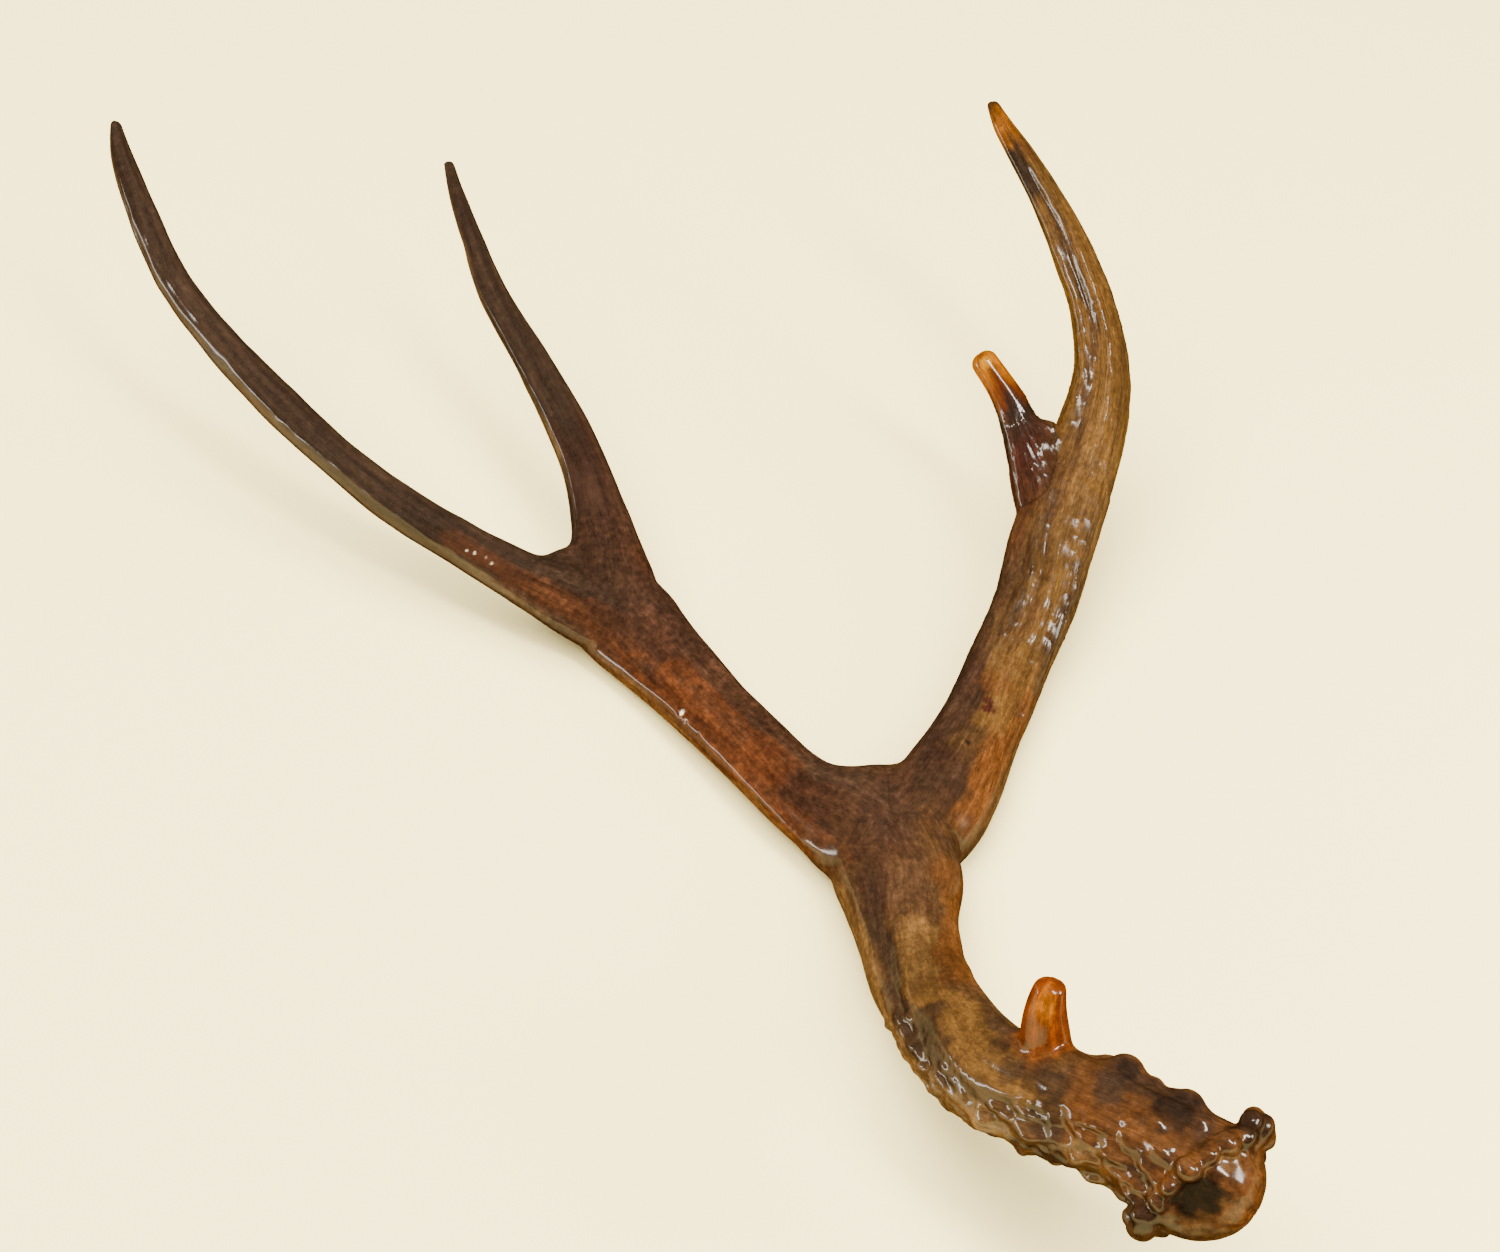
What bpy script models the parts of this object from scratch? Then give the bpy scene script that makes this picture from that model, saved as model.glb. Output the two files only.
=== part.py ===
"""Shed deer antler, lacquered: one grown piece, parted at its three main forks.

The antler lies on its outer side, on three small flats under the main fork.
World frame: metres, +Z up, the resting surface at z = 0, the middle of the
antler's box over the origin, and the tines pointing along +Y.
"""
import math
import random

import bmesh
import bpy
from mathutils import Matrix, Vector

MM = 0.001

# Driving dimensions, in millimetres.
BURR_RADIUS = 22.0
BURR_AXIS = (0.52, -0.85, 0.02)
BURR_INSET = 1.5
BURR_CORE = 5.5
BURR_BEAD = 3.4
BURR_BEADS = 17
BEAD_DRIFT_DEG = 5
SEAL_RADIUS = 17.7
SEAL_RISE = 16.8
# Parts of the face direction, the burr's outward axis and its left side.
HOLLOW_PLACE = (9, 9, 7)
HOLLOW_LEAN = (0.6, 0.6, 0.3)
HOLLOW_REACH = 13.0
HOLLOW_DEPTH = 4.5
SAW_KERF = 0.3
REST_HEIGHT = 0.0
SEED = 11

# The flattened faces of every branch look this way: to the front and up.
FACE = Vector((0.0, -0.63, 0.78)).normalized()

# Centre line of each branch from its root to its tip. A row is x, y, z, half
# the width across the face and half the thickness through it, in millimetres.
LOWER_BEAM = (
    (170.4, -198.6, 69.0, 17.3, 16.5),
    (159.6, -189.8, 69.2, 15.3, 15.0),
    (146.4, -179.2, 64.9, 14.9, 14.5),
    (132.5, -168.6, 57.9, 15.8, 14.5),
    (117.0, -155.0, 48.0, 15.2, 14.0),
    (106.8, -134.1, 35.9, 14.9, 14.0),
    (100.5, -112.2, 24.9, 15.2, 14.0),
    (97.0, -88.0, 17.0, 16.9, 14.5),
    (95.7, -67.9, 14.1, 21.3, 14.5),
    (92.0, -52.0, 14.0, 20.0, 13.5),
)
LEFT_BRANCH = (
    (92.0, -58.0, 14.0, 17.0, 13.0),
    (79.3, -44.6, 14.3, 18.0, 12.5),
    (64.7, -32.8, 13.2, 13.4, 11.5),
    (42.7, -6.8, 12.1, 12.8, 10.5),
    (21.0, 21.0, 11.0, 14.8, 10.5),
    (5.4, 39.3, 13.2, 17.6, 10.5),
    (-7.0, 52.0, 17.0, 17.0, 10.0),
)
LEFT_TINE = (
    (5.0, 38.0, 13.0, 13.0, 9.5),
    (-13.2, 45.2, 18.8, 12.8, 9.0),
    (-32.4, 52.9, 23.6, 9.8, 8.5),
    (-53.7, 64.2, 27.8, 8.1, 7.5),
    (-80.3, 79.8, 34.2, 7.8, 7.0),
    (-103.3, 96.2, 42.2, 7.2, 6.8),
    (-126.4, 116.1, 51.0, 7.3, 6.5),
    (-148.5, 137.0, 62.0, 6.5, 6.0),
    (-164.8, 156.3, 71.9, 6.0, 5.5),
    (-176.6, 177.5, 83.0, 5.5, 5.0),
    (-186.2, 198.9, 92.9, 4.2, 4.0),
    (-190.0, 211.0, 98.5, 2.5, 2.6),
)
MIDDLE_TINE = (
    (7.0, 36.0, 13.0, 13.0, 9.5),
    (-1.5, 52.1, 20.1, 15.5, 9.5),
    (-5.4, 71.1, 26.1, 11.7, 9.0),
    (-11.0, 92.0, 33.0, 8.6, 8.0),
    (-20.2, 113.0, 41.0, 7.7, 7.0),
    (-35.0, 140.0, 50.0, 6.3, 6.0),
    (-48.5, 162.0, 59.0, 5.4, 5.0),
    (-57.6, 185.0, 67.0, 3.9, 3.8),
    (-64.3, 203.1, 74.0, 2.9, 2.7),
    (-67.5, 214.5, 78.0, 1.9, 1.8),
)
RIGHT_BRANCH = (
    (92.0, -58.0, 14.0, 17.0, 13.0),
    (109.1, -38.7, 13.3, 18.5, 12.5),
    (125.8, -5.7, 11.3, 14.6, 11.5),
    (137.0, 20.2, 13.2, 14.1, 11.5),
    (148.1, 44.0, 20.0, 14.3, 11.5),
    (154.8, 64.1, 28.0, 15.2, 12.0),
    (162.3, 84.1, 36.0, 15.0, 12.0),
)
RIGHT_TINE = (
    (155.0, 64.0, 28.0, 13.5, 11.0),
    (162.9, 84.0, 36.0, 14.2, 11.5),
    (171.3, 104.9, 45.9, 12.7, 10.5),
    (175.2, 124.0, 57.0, 10.1, 9.5),
    (172.6, 143.0, 69.0, 8.3, 8.2),
    (166.2, 157.1, 80.1, 7.7, 7.3),
    (158.7, 172.0, 90.0, 6.2, 6.2),
    (149.8, 187.0, 99.0, 5.0, 5.0),
    (140.9, 199.1, 107.1, 3.5, 3.6),
    (137.0, 208.0, 111.0, 2.3, 2.3),
)
SHORT_TINE = (
    (154.0, 72.0, 33.0, 10.5, 8.0),
    (149.6, 88.9, 43.0, 9.4, 7.6),
    (144.6, 100.9, 51.9, 7.0, 6.8),
    (137.9, 110.8, 60.9, 5.2, 5.4),
    (131.3, 117.7, 67.7, 4.8, 4.7),
)
BROW_TINE = (
    (135.0, -170.0, 52.0, 9.5, 9.0),
    (133.0, -163.0, 61.0, 8.2, 8.0),
    (131.1, -157.0, 70.0, 7.3, 6.8),
    (130.6, -153.0, 79.0, 6.1, 5.8),
    (131.3, -150.0, 86.0, 4.9, 4.6),
)

# Ridges along a branch: angle round it in degrees, height in millimetres and
# half the width in degrees. 0 is the left edge seen along the branch, 90 is
# the middle of the face and 180 is the right edge.
BEAM_RIDGES = ((35, 1.0, 22), (150, 1.2, 20), (95, 0.6, 16))
BRANCH_RIDGES = ((32, 1.6, 20), (148, 1.0, 26))
TINE_RIDGES = ((38, 0.9, 24), (150, 0.5, 30))

# Knobs on the lower beam: millimetres along it from the burr, angle, radius.
KNOBS = (
    (29, 173, 5.2), (21, 174, 2.3), (12, 172, 3.3), (7, 140, 2.0), (36, 200, 3.0),
    (79, -8, 2.1), (52, 12, 2.4), (46, -14, 3.2), (26, 18, 2.4), (16, 4, 2.2),
    (30, 42, 2.6), (20, 66, 2.2), (46, 52, 2.8), (62, 44, 2.6), (78, 40, 2.2),
    (88, 26, 2.0), (12, 36, 2.6), (10, 96, 2.2), (14, 118, 2.0),
)
PEARLS = 40
PEARL_ALONG = (8, 95)
PEARL_ANGLE = (-70, 60)
PEARL_RADIUS = (1.3, 2.3)
KNOB_STRETCH = (1.1, 1.7)
# Knobs larger than this stand on a wider foot.
LEAST_FOOTED = 2.3
# Beads in the two clusters of the burr: angle, radius and shift outward.
BEAD_CLUSTERS = (
    (174, 4.4, -1.5), (188, 3.8, 0.0), (201, 3.2, -2.0), (160, 3.6, -3.0), (178, 3.6, -5.5),
    (-4, 4.4, -1.5), (11, 3.8, 0.0), (-18, 3.2, -2.0), (24, 3.2, -2.0), (0, 3.6, -5.0),
)

# Saw cuts at the forks: centre, direction across the cut and reach.
CUTS = (
    ((73, -39, 14), (-0.83, 0.56, -0.03), 27),
    ((115, -28, 13), (0.60, 0.80, 0.00), 27),
    ((-32, 53, 24), (-0.89, 0.40, 0.20), 20),
    ((-8, 76, 28), (-0.21, 0.93, 0.30), 20),
    ((172, 111, 50), (0.33, 0.83, 0.45), 20),
    ((143, 102, 52), (-0.45, 0.70, 0.55), 13),
)
# Places where two branches run into each other: centre, reach and rounds of smoothing.
SMOOTHED = (
    ((85, -30, 17), 34, 24),
    ((-20, 64, 26), 24, 14),
    ((161, 98, 48), 20, 8),
    ((132, -164, 62), 16, 6),
)
# Flesh that fills the forks: centre, reach forwards, sideways and up.
WEBS = (
    ((90, -40, 16), (16, 18, 13)),
    ((-20.5, 61, 24), (5, 6, 6)),
    ((153.5, 98, 52), (4.5, 4, 5)),
)
# A point inside each node.
NODES = {
    "lower_beam": (133, -168, 58),
    "left_branch": (42, -7, 12),
    "left_tine": (-103, 96, 42),
    "middle_tine": (-35, 140, 50),
    "right_branch": (138, 20, 14),
    "right_tine": (166, 157, 80),
    "short_tine": (139, 110, 60),
}
COLOURS = {
    "lower_beam": (0.10, 0.045, 0.016),
    "left_branch": (0.085, 0.022, 0.008),
    "left_tine": (0.045, 0.016, 0.008),
    "middle_tine": (0.060, 0.020, 0.010),
    "right_branch": (0.16, 0.075, 0.020),
    "right_tine": (0.18, 0.085, 0.028),
    "short_tine": (0.16, 0.055, 0.012),
}
GRAIN = 1.5
TRIANGLES = 8600
# Below this half width a branch's ridges fade with it.
RIDGE_FULL_WIDTH = 9
END_ROUNDING = 0.75
END_LIFTS_DEG = (35, 65)
TANGENT_STEP = 0.2


def clear_scene():
    for item in list(bpy.data.objects):
        bpy.data.objects.remove(item, do_unlink=True)


def between(rows, position):
    """A row read from the smooth curve through the rows, by its number."""
    last = len(rows) - 1
    start = min(int(position), last - 1)
    t = position - start
    a = rows[max(start - 1, 0)]
    b = rows[start]
    c = rows[start + 1]
    d = rows[min(start + 2, last)]
    return [
        0.5 * (2 * q + (r - p) * t + (2 * p - 5 * q + 4 * r - s) * t * t + (3 * q - p - 3 * r + s) * t ** 3)
        for p, q, r, s in zip(a, b, c, d)
    ]


def axes_at(rows, position):
    """Centre, direction along the branch, and its left and face directions."""
    last = len(rows) - 1
    ahead = Vector(between(rows, min(position + TANGENT_STEP, last))[:3])
    behind = Vector(between(rows, max(position - TANGENT_STEP, 0))[:3])
    along = (ahead - behind).normalized()
    left = FACE.cross(along).normalized()
    face = along.cross(left).normalized()
    return Vector(between(rows, position)[:3]), along, left, face


def section_point(rows, position, angle, ridges):
    centre, along, left, face = axes_at(rows, position)
    width, thickness = between(rows, position)[3:5]
    swell = 0.0
    for ridge_angle, height, spread in ridges:
        off = (angle - ridge_angle + 180) % 360 - 180
        swell += height * math.exp(-(off / spread) ** 2) * min(1.0, width / RIDGE_FULL_WIDTH)
    turn = math.radians(angle)
    reach_left = (width + swell) * math.cos(turn)
    reach_face = (thickness + swell) * math.sin(turn)
    return centre + left * reach_left + face * reach_face


def add_branch(mesh, rows, ridges, sides=20, steps=4):
    """A closed tube along a branch, with a round end at its root and its tip."""
    last = len(rows) - 1
    rings = []
    for i in range(last * steps + 1):
        ring = [
            mesh.verts.new(section_point(rows, i / steps, 360 * k / sides, ridges))
            for k in range(sides)
        ]
        rings.append(ring)
    for end, position, sense in ((0, 0, -1), (-1, last, 1)):
        centre, along, left, face = axes_at(rows, position)
        thickness = between(rows, position)[4]
        reach = END_ROUNDING * thickness * sense
        previous = rings[end]
        for lift in END_LIFTS_DEG:
            turn = math.radians(lift)
            middle = centre + along * (reach * math.sin(turn))
            ring = []
            for k in range(sides):
                flat = section_point(rows, position, 360 * k / sides, ridges) - centre
                ring.append(mesh.verts.new(middle + flat * math.cos(turn)))
            bridge(mesh, previous, ring, sense > 0)
            previous = ring
        pole = mesh.verts.new(centre + along * reach)
        for k in range(sides):
            pair = (previous[k], previous[(k + 1) % sides])
            mesh.faces.new((*pair, pole) if sense > 0 else (*reversed(pair), pole))
    for lower, upper in zip(rings, rings[1:]):
        bridge(mesh, lower, upper, True)


def bridge(mesh, lower, upper, outward):
    count = len(lower)
    for k in range(count):
        after = (k + 1) % count
        corners = (lower[k], lower[after], upper[after], upper[k])
        mesh.faces.new(corners if outward else tuple(reversed(corners)))


def add_lump(mesh, centre, radii, along, left):
    """An ellipsoid whose radii run along, left and outward."""
    outward = along.cross(left)
    place = Matrix((along * radii[0], left * radii[1], outward * radii[2])).transposed().to_4x4()
    place.translation = centre
    bmesh.ops.create_icosphere(mesh, subdivisions=2, radius=1.0, matrix=place)


def beam_place(along_mm, angle):
    """A point on the lower beam's skin, with the directions there."""
    walked = 0.0
    previous = Vector(between(LOWER_BEAM, 0)[:3])
    position = 0.0
    while walked < along_mm and position < len(LOWER_BEAM) - 1:
        position += 0.05
        here = Vector(between(LOWER_BEAM, position)[:3])
        walked += (here - previous).length
        previous = here
    centre, along, left, face = axes_at(LOWER_BEAM, position)
    skin = section_point(LOWER_BEAM, position, angle, BEAM_RIDGES)
    outward = (skin - centre).normalized()
    return skin, along, outward


def add_knobs(mesh):
    chance = random.Random(SEED)
    places = list(KNOBS)
    for _ in range(PEARLS):
        along_mm = chance.uniform(*PEARL_ALONG)
        angle = chance.uniform(*PEARL_ANGLE)
        places.append((along_mm, angle, chance.uniform(*PEARL_RADIUS)))
    for along_mm, angle, radius in places:
        skin, along, outward = beam_place(along_mm, angle)
        across = outward.cross(along).normalized()
        stretch = chance.uniform(*KNOB_STRETCH)
        add_lump(mesh, skin, (radius * stretch, radius, radius), along, across)
        if radius > LEAST_FOOTED:
            foot = skin - outward * (radius * 0.35)
            add_lump(mesh, foot, (radius * stretch * 1.7, radius * 1.5, radius * 0.9), along, across)


def burr_axes():
    """Centre of the burr, its outward axis, and two directions across it."""
    centre = Vector(LOWER_BEAM[0][:3])
    outward = Vector(BURR_AXIS).normalized()
    left = outward.cross(FACE).normalized()
    return centre, outward, left, left.cross(outward).normalized()


def add_burr_and_seal(mesh):
    """The beaded ring round the root and the rounded face where it was shed."""
    centre, outward, left, face = burr_axes()
    chance = random.Random(SEED + 1)
    beads = []
    for k in range(BURR_BEADS):
        angle = 360 * k / BURR_BEADS + chance.uniform(-BEAD_DRIFT_DEG, BEAD_DRIFT_DEG)
        beads.append((angle, BURR_BEAD * chance.uniform(0.75, 1.15), 0))
    ring = BURR_RADIUS - BURR_INSET
    for angle, radius, shift in beads + list(BEAD_CLUSTERS):
        turn = math.radians(angle)
        radial = left * math.cos(turn) + face * math.sin(turn)
        place = centre + radial * ring + outward * (BURR_INSET + shift)
        add_lump(mesh, place, (radius * 0.9, radius * 1.1, radius), outward, radial.cross(outward))
    add_lump(mesh, centre, (BURR_CORE, ring, ring - 1), outward, left)
    add_lump(mesh, centre, (SEAL_RISE, SEAL_RADIUS, SEAL_RADIUS * 0.95), outward, left)


def smooth(mesh, verts):
    bmesh.ops.smooth_vert(mesh, verts=verts, factor=0.5, use_axis_x=True, use_axis_y=True, use_axis_z=True)


def smooth_region(mesh, centre, reach, rounds):
    middle = Vector(centre)
    near = [v for v in mesh.verts if (v.co - middle).length < reach]
    for _ in range(rounds):
        smooth(mesh, near)


def grow_antler():
    """The whole antler as one skin, in millimetres."""
    mesh = bmesh.new()
    add_branch(mesh, LOWER_BEAM, BEAM_RIDGES)
    add_branch(mesh, LEFT_BRANCH, BRANCH_RIDGES)
    add_branch(mesh, RIGHT_BRANCH, BRANCH_RIDGES)
    for rows in (LEFT_TINE, MIDDLE_TINE, RIGHT_TINE, SHORT_TINE):
        add_branch(mesh, rows, TINE_RIDGES)
    add_branch(mesh, BROW_TINE, ())
    for centre, reach in WEBS:
        add_lump(mesh, Vector(centre), reach, Vector((0, -1, 0)), Vector((1, 0, 0)))
    add_knobs(mesh)
    add_burr_and_seal(mesh)
    shape = bpy.data.meshes.new("antler")
    mesh.to_mesh(shape)
    mesh.free()
    return shape


def evaluated(shape, kind, values):
    """The mesh after one modifier, given as its type and its values."""
    holder = bpy.data.objects.new("holder", shape)
    bpy.context.scene.collection.objects.link(holder)
    modifier = holder.modifiers.new(kind.lower(), kind)
    for name, value in values.items():
        setattr(modifier, name, value)
    graph = bpy.context.evaluated_depsgraph_get()
    result = bpy.data.meshes.new_from_object(holder.evaluated_get(graph))
    bpy.data.objects.remove(holder, do_unlink=True)
    return result


def press_hollow(mesh):
    """The shallow round hollow in the seal."""
    centre, outward, left, face = burr_axes()
    axes = (face, outward, left)
    middle = centre + sum((axis * part for axis, part in zip(axes, HOLLOW_PLACE)), Vector())
    inward = sum((axis * part for axis, part in zip(axes, HOLLOW_LEAN)), Vector()).normalized()
    for vertex in mesh.verts:
        away = (vertex.co - middle).length / HOLLOW_REACH
        if away < 1:
            vertex.co -= inward * (HOLLOW_DEPTH * (1 - away * away) ** 2)


def saw(mesh, centre, across, reach, kerf):
    """Cut one branch through, leaving a gap of the kerf with a flat on each side."""
    middle = Vector(centre)
    direction = Vector(across).normalized()
    for offset in (-kerf / 2, kerf / 2):
        near = [f for f in mesh.faces if (f.calc_center_median() - middle).length < reach]
        parts = list({e for f in near for e in f.edges}) + list({v for f in near for v in f.verts}) + near
        bmesh.ops.bisect_plane(
            mesh, geom=parts, plane_co=middle + direction * offset, plane_no=direction, dist=1e-4,
        )
    inside = [
        f for f in mesh.faces
        if abs((f.calc_center_median() - middle).dot(direction)) < kerf / 2 - 1e-4
        and (f.calc_center_median() - middle).length < reach
    ]
    bmesh.ops.delete(mesh, geom=inside, context="FACES")
    rim = [e for e in mesh.edges if e.is_boundary]
    bmesh.ops.holes_fill(mesh, edges=rim, sides=0)


def rest_flats(mesh, height):
    parts = mesh.verts[:] + mesh.edges[:] + mesh.faces[:]
    bmesh.ops.bisect_plane(
        mesh, geom=parts, plane_co=(0, 0, height), plane_no=(0, 0, -1), dist=1e-4, clear_outer=True,
    )
    rim = [e for e in mesh.edges if e.is_boundary]
    bmesh.ops.holes_fill(mesh, edges=rim, sides=0)


def pieces_of(mesh):
    """The loose pieces, each as a set of its vertices."""
    waiting = set(mesh.verts)
    pieces = []
    while waiting:
        piece = {waiting.pop()}
        front = list(piece)
        while front:
            vertex = front.pop()
            for edge in vertex.link_edges:
                other = edge.other_vert(vertex)
                if other not in piece:
                    piece.add(other)
                    front.append(other)
        waiting -= piece
        pieces.append(piece)
    return pieces


def lacquer(name, colour):
    material = bpy.data.materials.new(name + "_lacquer")
    material.use_nodes = True
    shader = material.node_tree.nodes["Principled BSDF"]
    shader.inputs["Base Color"].default_value = (*colour, 1.0)
    shader.inputs["Roughness"].default_value = 0.28
    shader.inputs["Metallic"].default_value = 0.0
    return material


def build_node(name, mesh, piece):
    """One named object from one loose piece, in metres."""
    single = mesh.copy()
    single.verts.ensure_lookup_table()
    keep = {v.index for v in piece}
    others = [v for v in single.verts if v.index not in keep]
    bmesh.ops.delete(single, geom=others, context="VERTS")
    bmesh.ops.scale(single, vec=(MM, MM, MM), verts=single.verts)
    bmesh.ops.triangulate(single, faces=single.faces, ngon_method="EAR_CLIP")
    shape = bpy.data.meshes.new(name)
    single.to_mesh(shape)
    single.free()
    shape.shade_smooth()
    shape.set_sharp_from_angle(angle=math.radians(50))
    shape.materials.append(lacquer(name, COLOURS[name]))
    node = bpy.data.objects.new(name, shape)
    bpy.context.scene.collection.objects.link(node)


def main():
    clear_scene()
    skin = evaluated(grow_antler(), "REMESH", {"mode": "VOXEL", "voxel_size": GRAIN, "adaptivity": 0.0})
    mesh = bmesh.new()
    mesh.from_mesh(skin)
    for centre, reach, rounds in SMOOTHED:
        smooth_region(mesh, centre, reach, rounds)
    smooth(mesh, mesh.verts)
    press_hollow(mesh)
    mesh.to_mesh(skin)
    mesh.free()
    count = 2 * len(skin.polygons)
    thinned = evaluated(skin, "DECIMATE", {"ratio": TRIANGLES / count})
    mesh = bmesh.new()
    mesh.from_mesh(thinned)
    bmesh.ops.triangulate(mesh, faces=mesh.faces)
    for centre, across, reach in CUTS:
        saw(mesh, centre, across, reach, SAW_KERF)
    rest_flats(mesh, REST_HEIGHT)
    mesh.verts.index_update()
    pieces = pieces_of(mesh)
    for name, place in NODES.items():
        middle = Vector(place)
        nearest = min(pieces, key=lambda piece: min((v.co - middle).length for v in piece))
        build_node(name, mesh, nearest)
    mesh.free()


main()
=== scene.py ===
"""Painted deer antler: its finished skin, lacquer, stage and camera.

Laid out as an add-on and run as a script. The skin is grown once from the same
centre lines as the solids, and each piece is cut out of it at the same forks.
Lengths in the tables are millimetres; finished meshes are in metres.
"""

import math

import bmesh
import bpy
import numpy as np
from bpy.props import FloatProperty, FloatVectorProperty, IntProperty, PointerProperty
from bpy.types import Operator, Panel, PropertyGroup
from mathutils import Matrix, Vector


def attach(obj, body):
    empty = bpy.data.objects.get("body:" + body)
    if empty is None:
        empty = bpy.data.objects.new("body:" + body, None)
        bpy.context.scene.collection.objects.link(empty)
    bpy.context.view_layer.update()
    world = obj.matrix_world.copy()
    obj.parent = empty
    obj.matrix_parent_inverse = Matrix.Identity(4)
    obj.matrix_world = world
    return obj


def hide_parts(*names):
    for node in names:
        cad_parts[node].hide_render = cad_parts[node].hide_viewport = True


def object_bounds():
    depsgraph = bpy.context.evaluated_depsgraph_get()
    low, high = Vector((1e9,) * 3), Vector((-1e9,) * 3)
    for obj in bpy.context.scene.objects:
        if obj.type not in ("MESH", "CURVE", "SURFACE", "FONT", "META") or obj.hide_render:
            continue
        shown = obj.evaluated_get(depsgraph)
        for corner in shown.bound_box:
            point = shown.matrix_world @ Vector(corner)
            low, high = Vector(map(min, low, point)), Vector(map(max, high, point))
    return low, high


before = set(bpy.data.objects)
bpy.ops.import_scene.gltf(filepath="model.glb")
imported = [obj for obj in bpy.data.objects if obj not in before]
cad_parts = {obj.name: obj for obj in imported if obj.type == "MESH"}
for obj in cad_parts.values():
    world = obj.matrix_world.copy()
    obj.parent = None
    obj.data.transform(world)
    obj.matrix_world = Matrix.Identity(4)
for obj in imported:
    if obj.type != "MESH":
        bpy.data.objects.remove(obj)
CAD_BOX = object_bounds()

bl_info = {
    "name": "Painted Deer Antler",
    "version": (1, 0, 0),
    "blender": (4, 5, 0),
    "location": "3D View > Sidebar > Antler",
    "description": "Grows a lacquered deer antler over its solids and sets it on a pale stage",
    "category": "Object",
}

MM = 0.001
# The way that the antler's face looks, which is 90 degrees round each branch.
FACE = Vector((0.0, -0.63, 0.78)).normalized()

# Centre line of each branch: x, y, z, half the width, half the thickness.
LOWER_BEAM = (
    (170.4, -198.6, 69.0, 17.3, 16.5),
    (159.6, -189.8, 69.2, 15.3, 15.0),
    (146.4, -179.2, 64.9, 14.9, 14.5),
    (132.5, -168.6, 57.9, 15.8, 14.5),
    (117.0, -155.0, 48.0, 15.2, 14.0),
    (106.8, -134.1, 35.9, 14.9, 14.0),
    (100.5, -112.2, 24.9, 15.2, 14.0),
    (97.0, -88.0, 17.0, 16.9, 14.5),
    (95.7, -67.9, 14.1, 21.3, 14.5),
    (92.0, -52.0, 14.0, 20.0, 13.5),
)
LEFT_BRANCH = (
    (92.0, -58.0, 14.0, 17.0, 13.0),
    (79.3, -44.6, 14.3, 18.0, 12.5),
    (64.7, -32.8, 13.2, 13.4, 11.5),
    (42.7, -6.8, 12.1, 12.8, 10.5),
    (21.0, 21.0, 11.0, 14.8, 10.5),
    (5.4, 39.3, 13.2, 17.6, 10.5),
    (-7.0, 52.0, 17.0, 17.0, 10.0),
)
LEFT_TINE = (
    (5.0, 38.0, 13.0, 13.0, 9.5),
    (-13.2, 45.2, 18.8, 12.8, 9.0),
    (-32.4, 52.9, 23.6, 9.8, 8.5),
    (-53.7, 64.2, 27.8, 8.1, 7.5),
    (-80.3, 79.8, 34.2, 7.8, 7.0),
    (-103.3, 96.2, 42.2, 7.2, 6.8),
    (-126.4, 116.1, 51.0, 7.3, 6.5),
    (-148.5, 137.0, 62.0, 6.5, 6.0),
    (-164.8, 156.3, 71.9, 6.0, 5.5),
    (-176.6, 177.5, 83.0, 5.5, 5.0),
    (-186.2, 198.9, 92.9, 4.2, 4.0),
    (-190.0, 211.0, 98.5, 2.5, 2.6),
)
MIDDLE_TINE = (
    (7.0, 36.0, 13.0, 13.0, 9.5),
    (-1.5, 52.1, 20.1, 15.5, 9.5),
    (-5.4, 71.1, 26.1, 11.7, 9.0),
    (-11.0, 92.0, 33.0, 8.6, 8.0),
    (-20.2, 113.0, 41.0, 7.7, 7.0),
    (-35.0, 140.0, 50.0, 6.3, 6.0),
    (-48.5, 162.0, 59.0, 5.4, 5.0),
    (-57.6, 185.0, 67.0, 3.9, 3.8),
    (-64.3, 203.1, 74.0, 2.9, 2.7),
    (-67.5, 214.5, 78.0, 1.9, 1.8),
)
RIGHT_BRANCH = (
    (92.0, -58.0, 14.0, 17.0, 13.0),
    (109.1, -38.7, 13.3, 18.5, 12.5),
    (125.8, -5.7, 11.3, 14.6, 11.5),
    (137.0, 20.2, 13.2, 14.1, 11.5),
    (148.1, 44.0, 20.0, 14.3, 11.5),
    (154.8, 64.1, 28.0, 15.2, 12.0),
    (162.3, 84.1, 36.0, 15.0, 12.0),
)
RIGHT_TINE = (
    (155.0, 64.0, 28.0, 13.5, 11.0),
    (162.9, 84.0, 36.0, 14.2, 11.5),
    (171.3, 104.9, 45.9, 12.7, 10.5),
    (175.2, 124.0, 57.0, 10.1, 9.5),
    (172.6, 143.0, 69.0, 8.3, 8.2),
    (166.2, 157.1, 80.1, 7.7, 7.3),
    (158.7, 172.0, 90.0, 6.2, 6.2),
    (149.8, 187.0, 99.0, 5.0, 5.0),
    (140.9, 199.1, 107.1, 3.5, 3.6),
    (137.0, 208.0, 111.0, 2.3, 2.3),
)
SHORT_TINE = (
    (154.0, 72.0, 33.0, 10.5, 8.0),
    (149.6, 88.9, 43.0, 9.4, 7.6),
    (144.6, 100.9, 51.9, 7.0, 6.8),
    (137.9, 110.8, 60.9, 5.2, 5.4),
    (131.3, 117.7, 67.7, 4.8, 4.7),
)
BROW_TINE = (
    (135.0, -170.0, 52.0, 9.5, 9.0),
    (133.0, -163.0, 61.0, 8.2, 8.0),
    (131.1, -157.0, 70.0, 7.3, 6.8),
    (130.6, -153.0, 79.0, 6.1, 5.8),
    (131.3, -150.0, 86.0, 4.9, 4.6),
)

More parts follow.
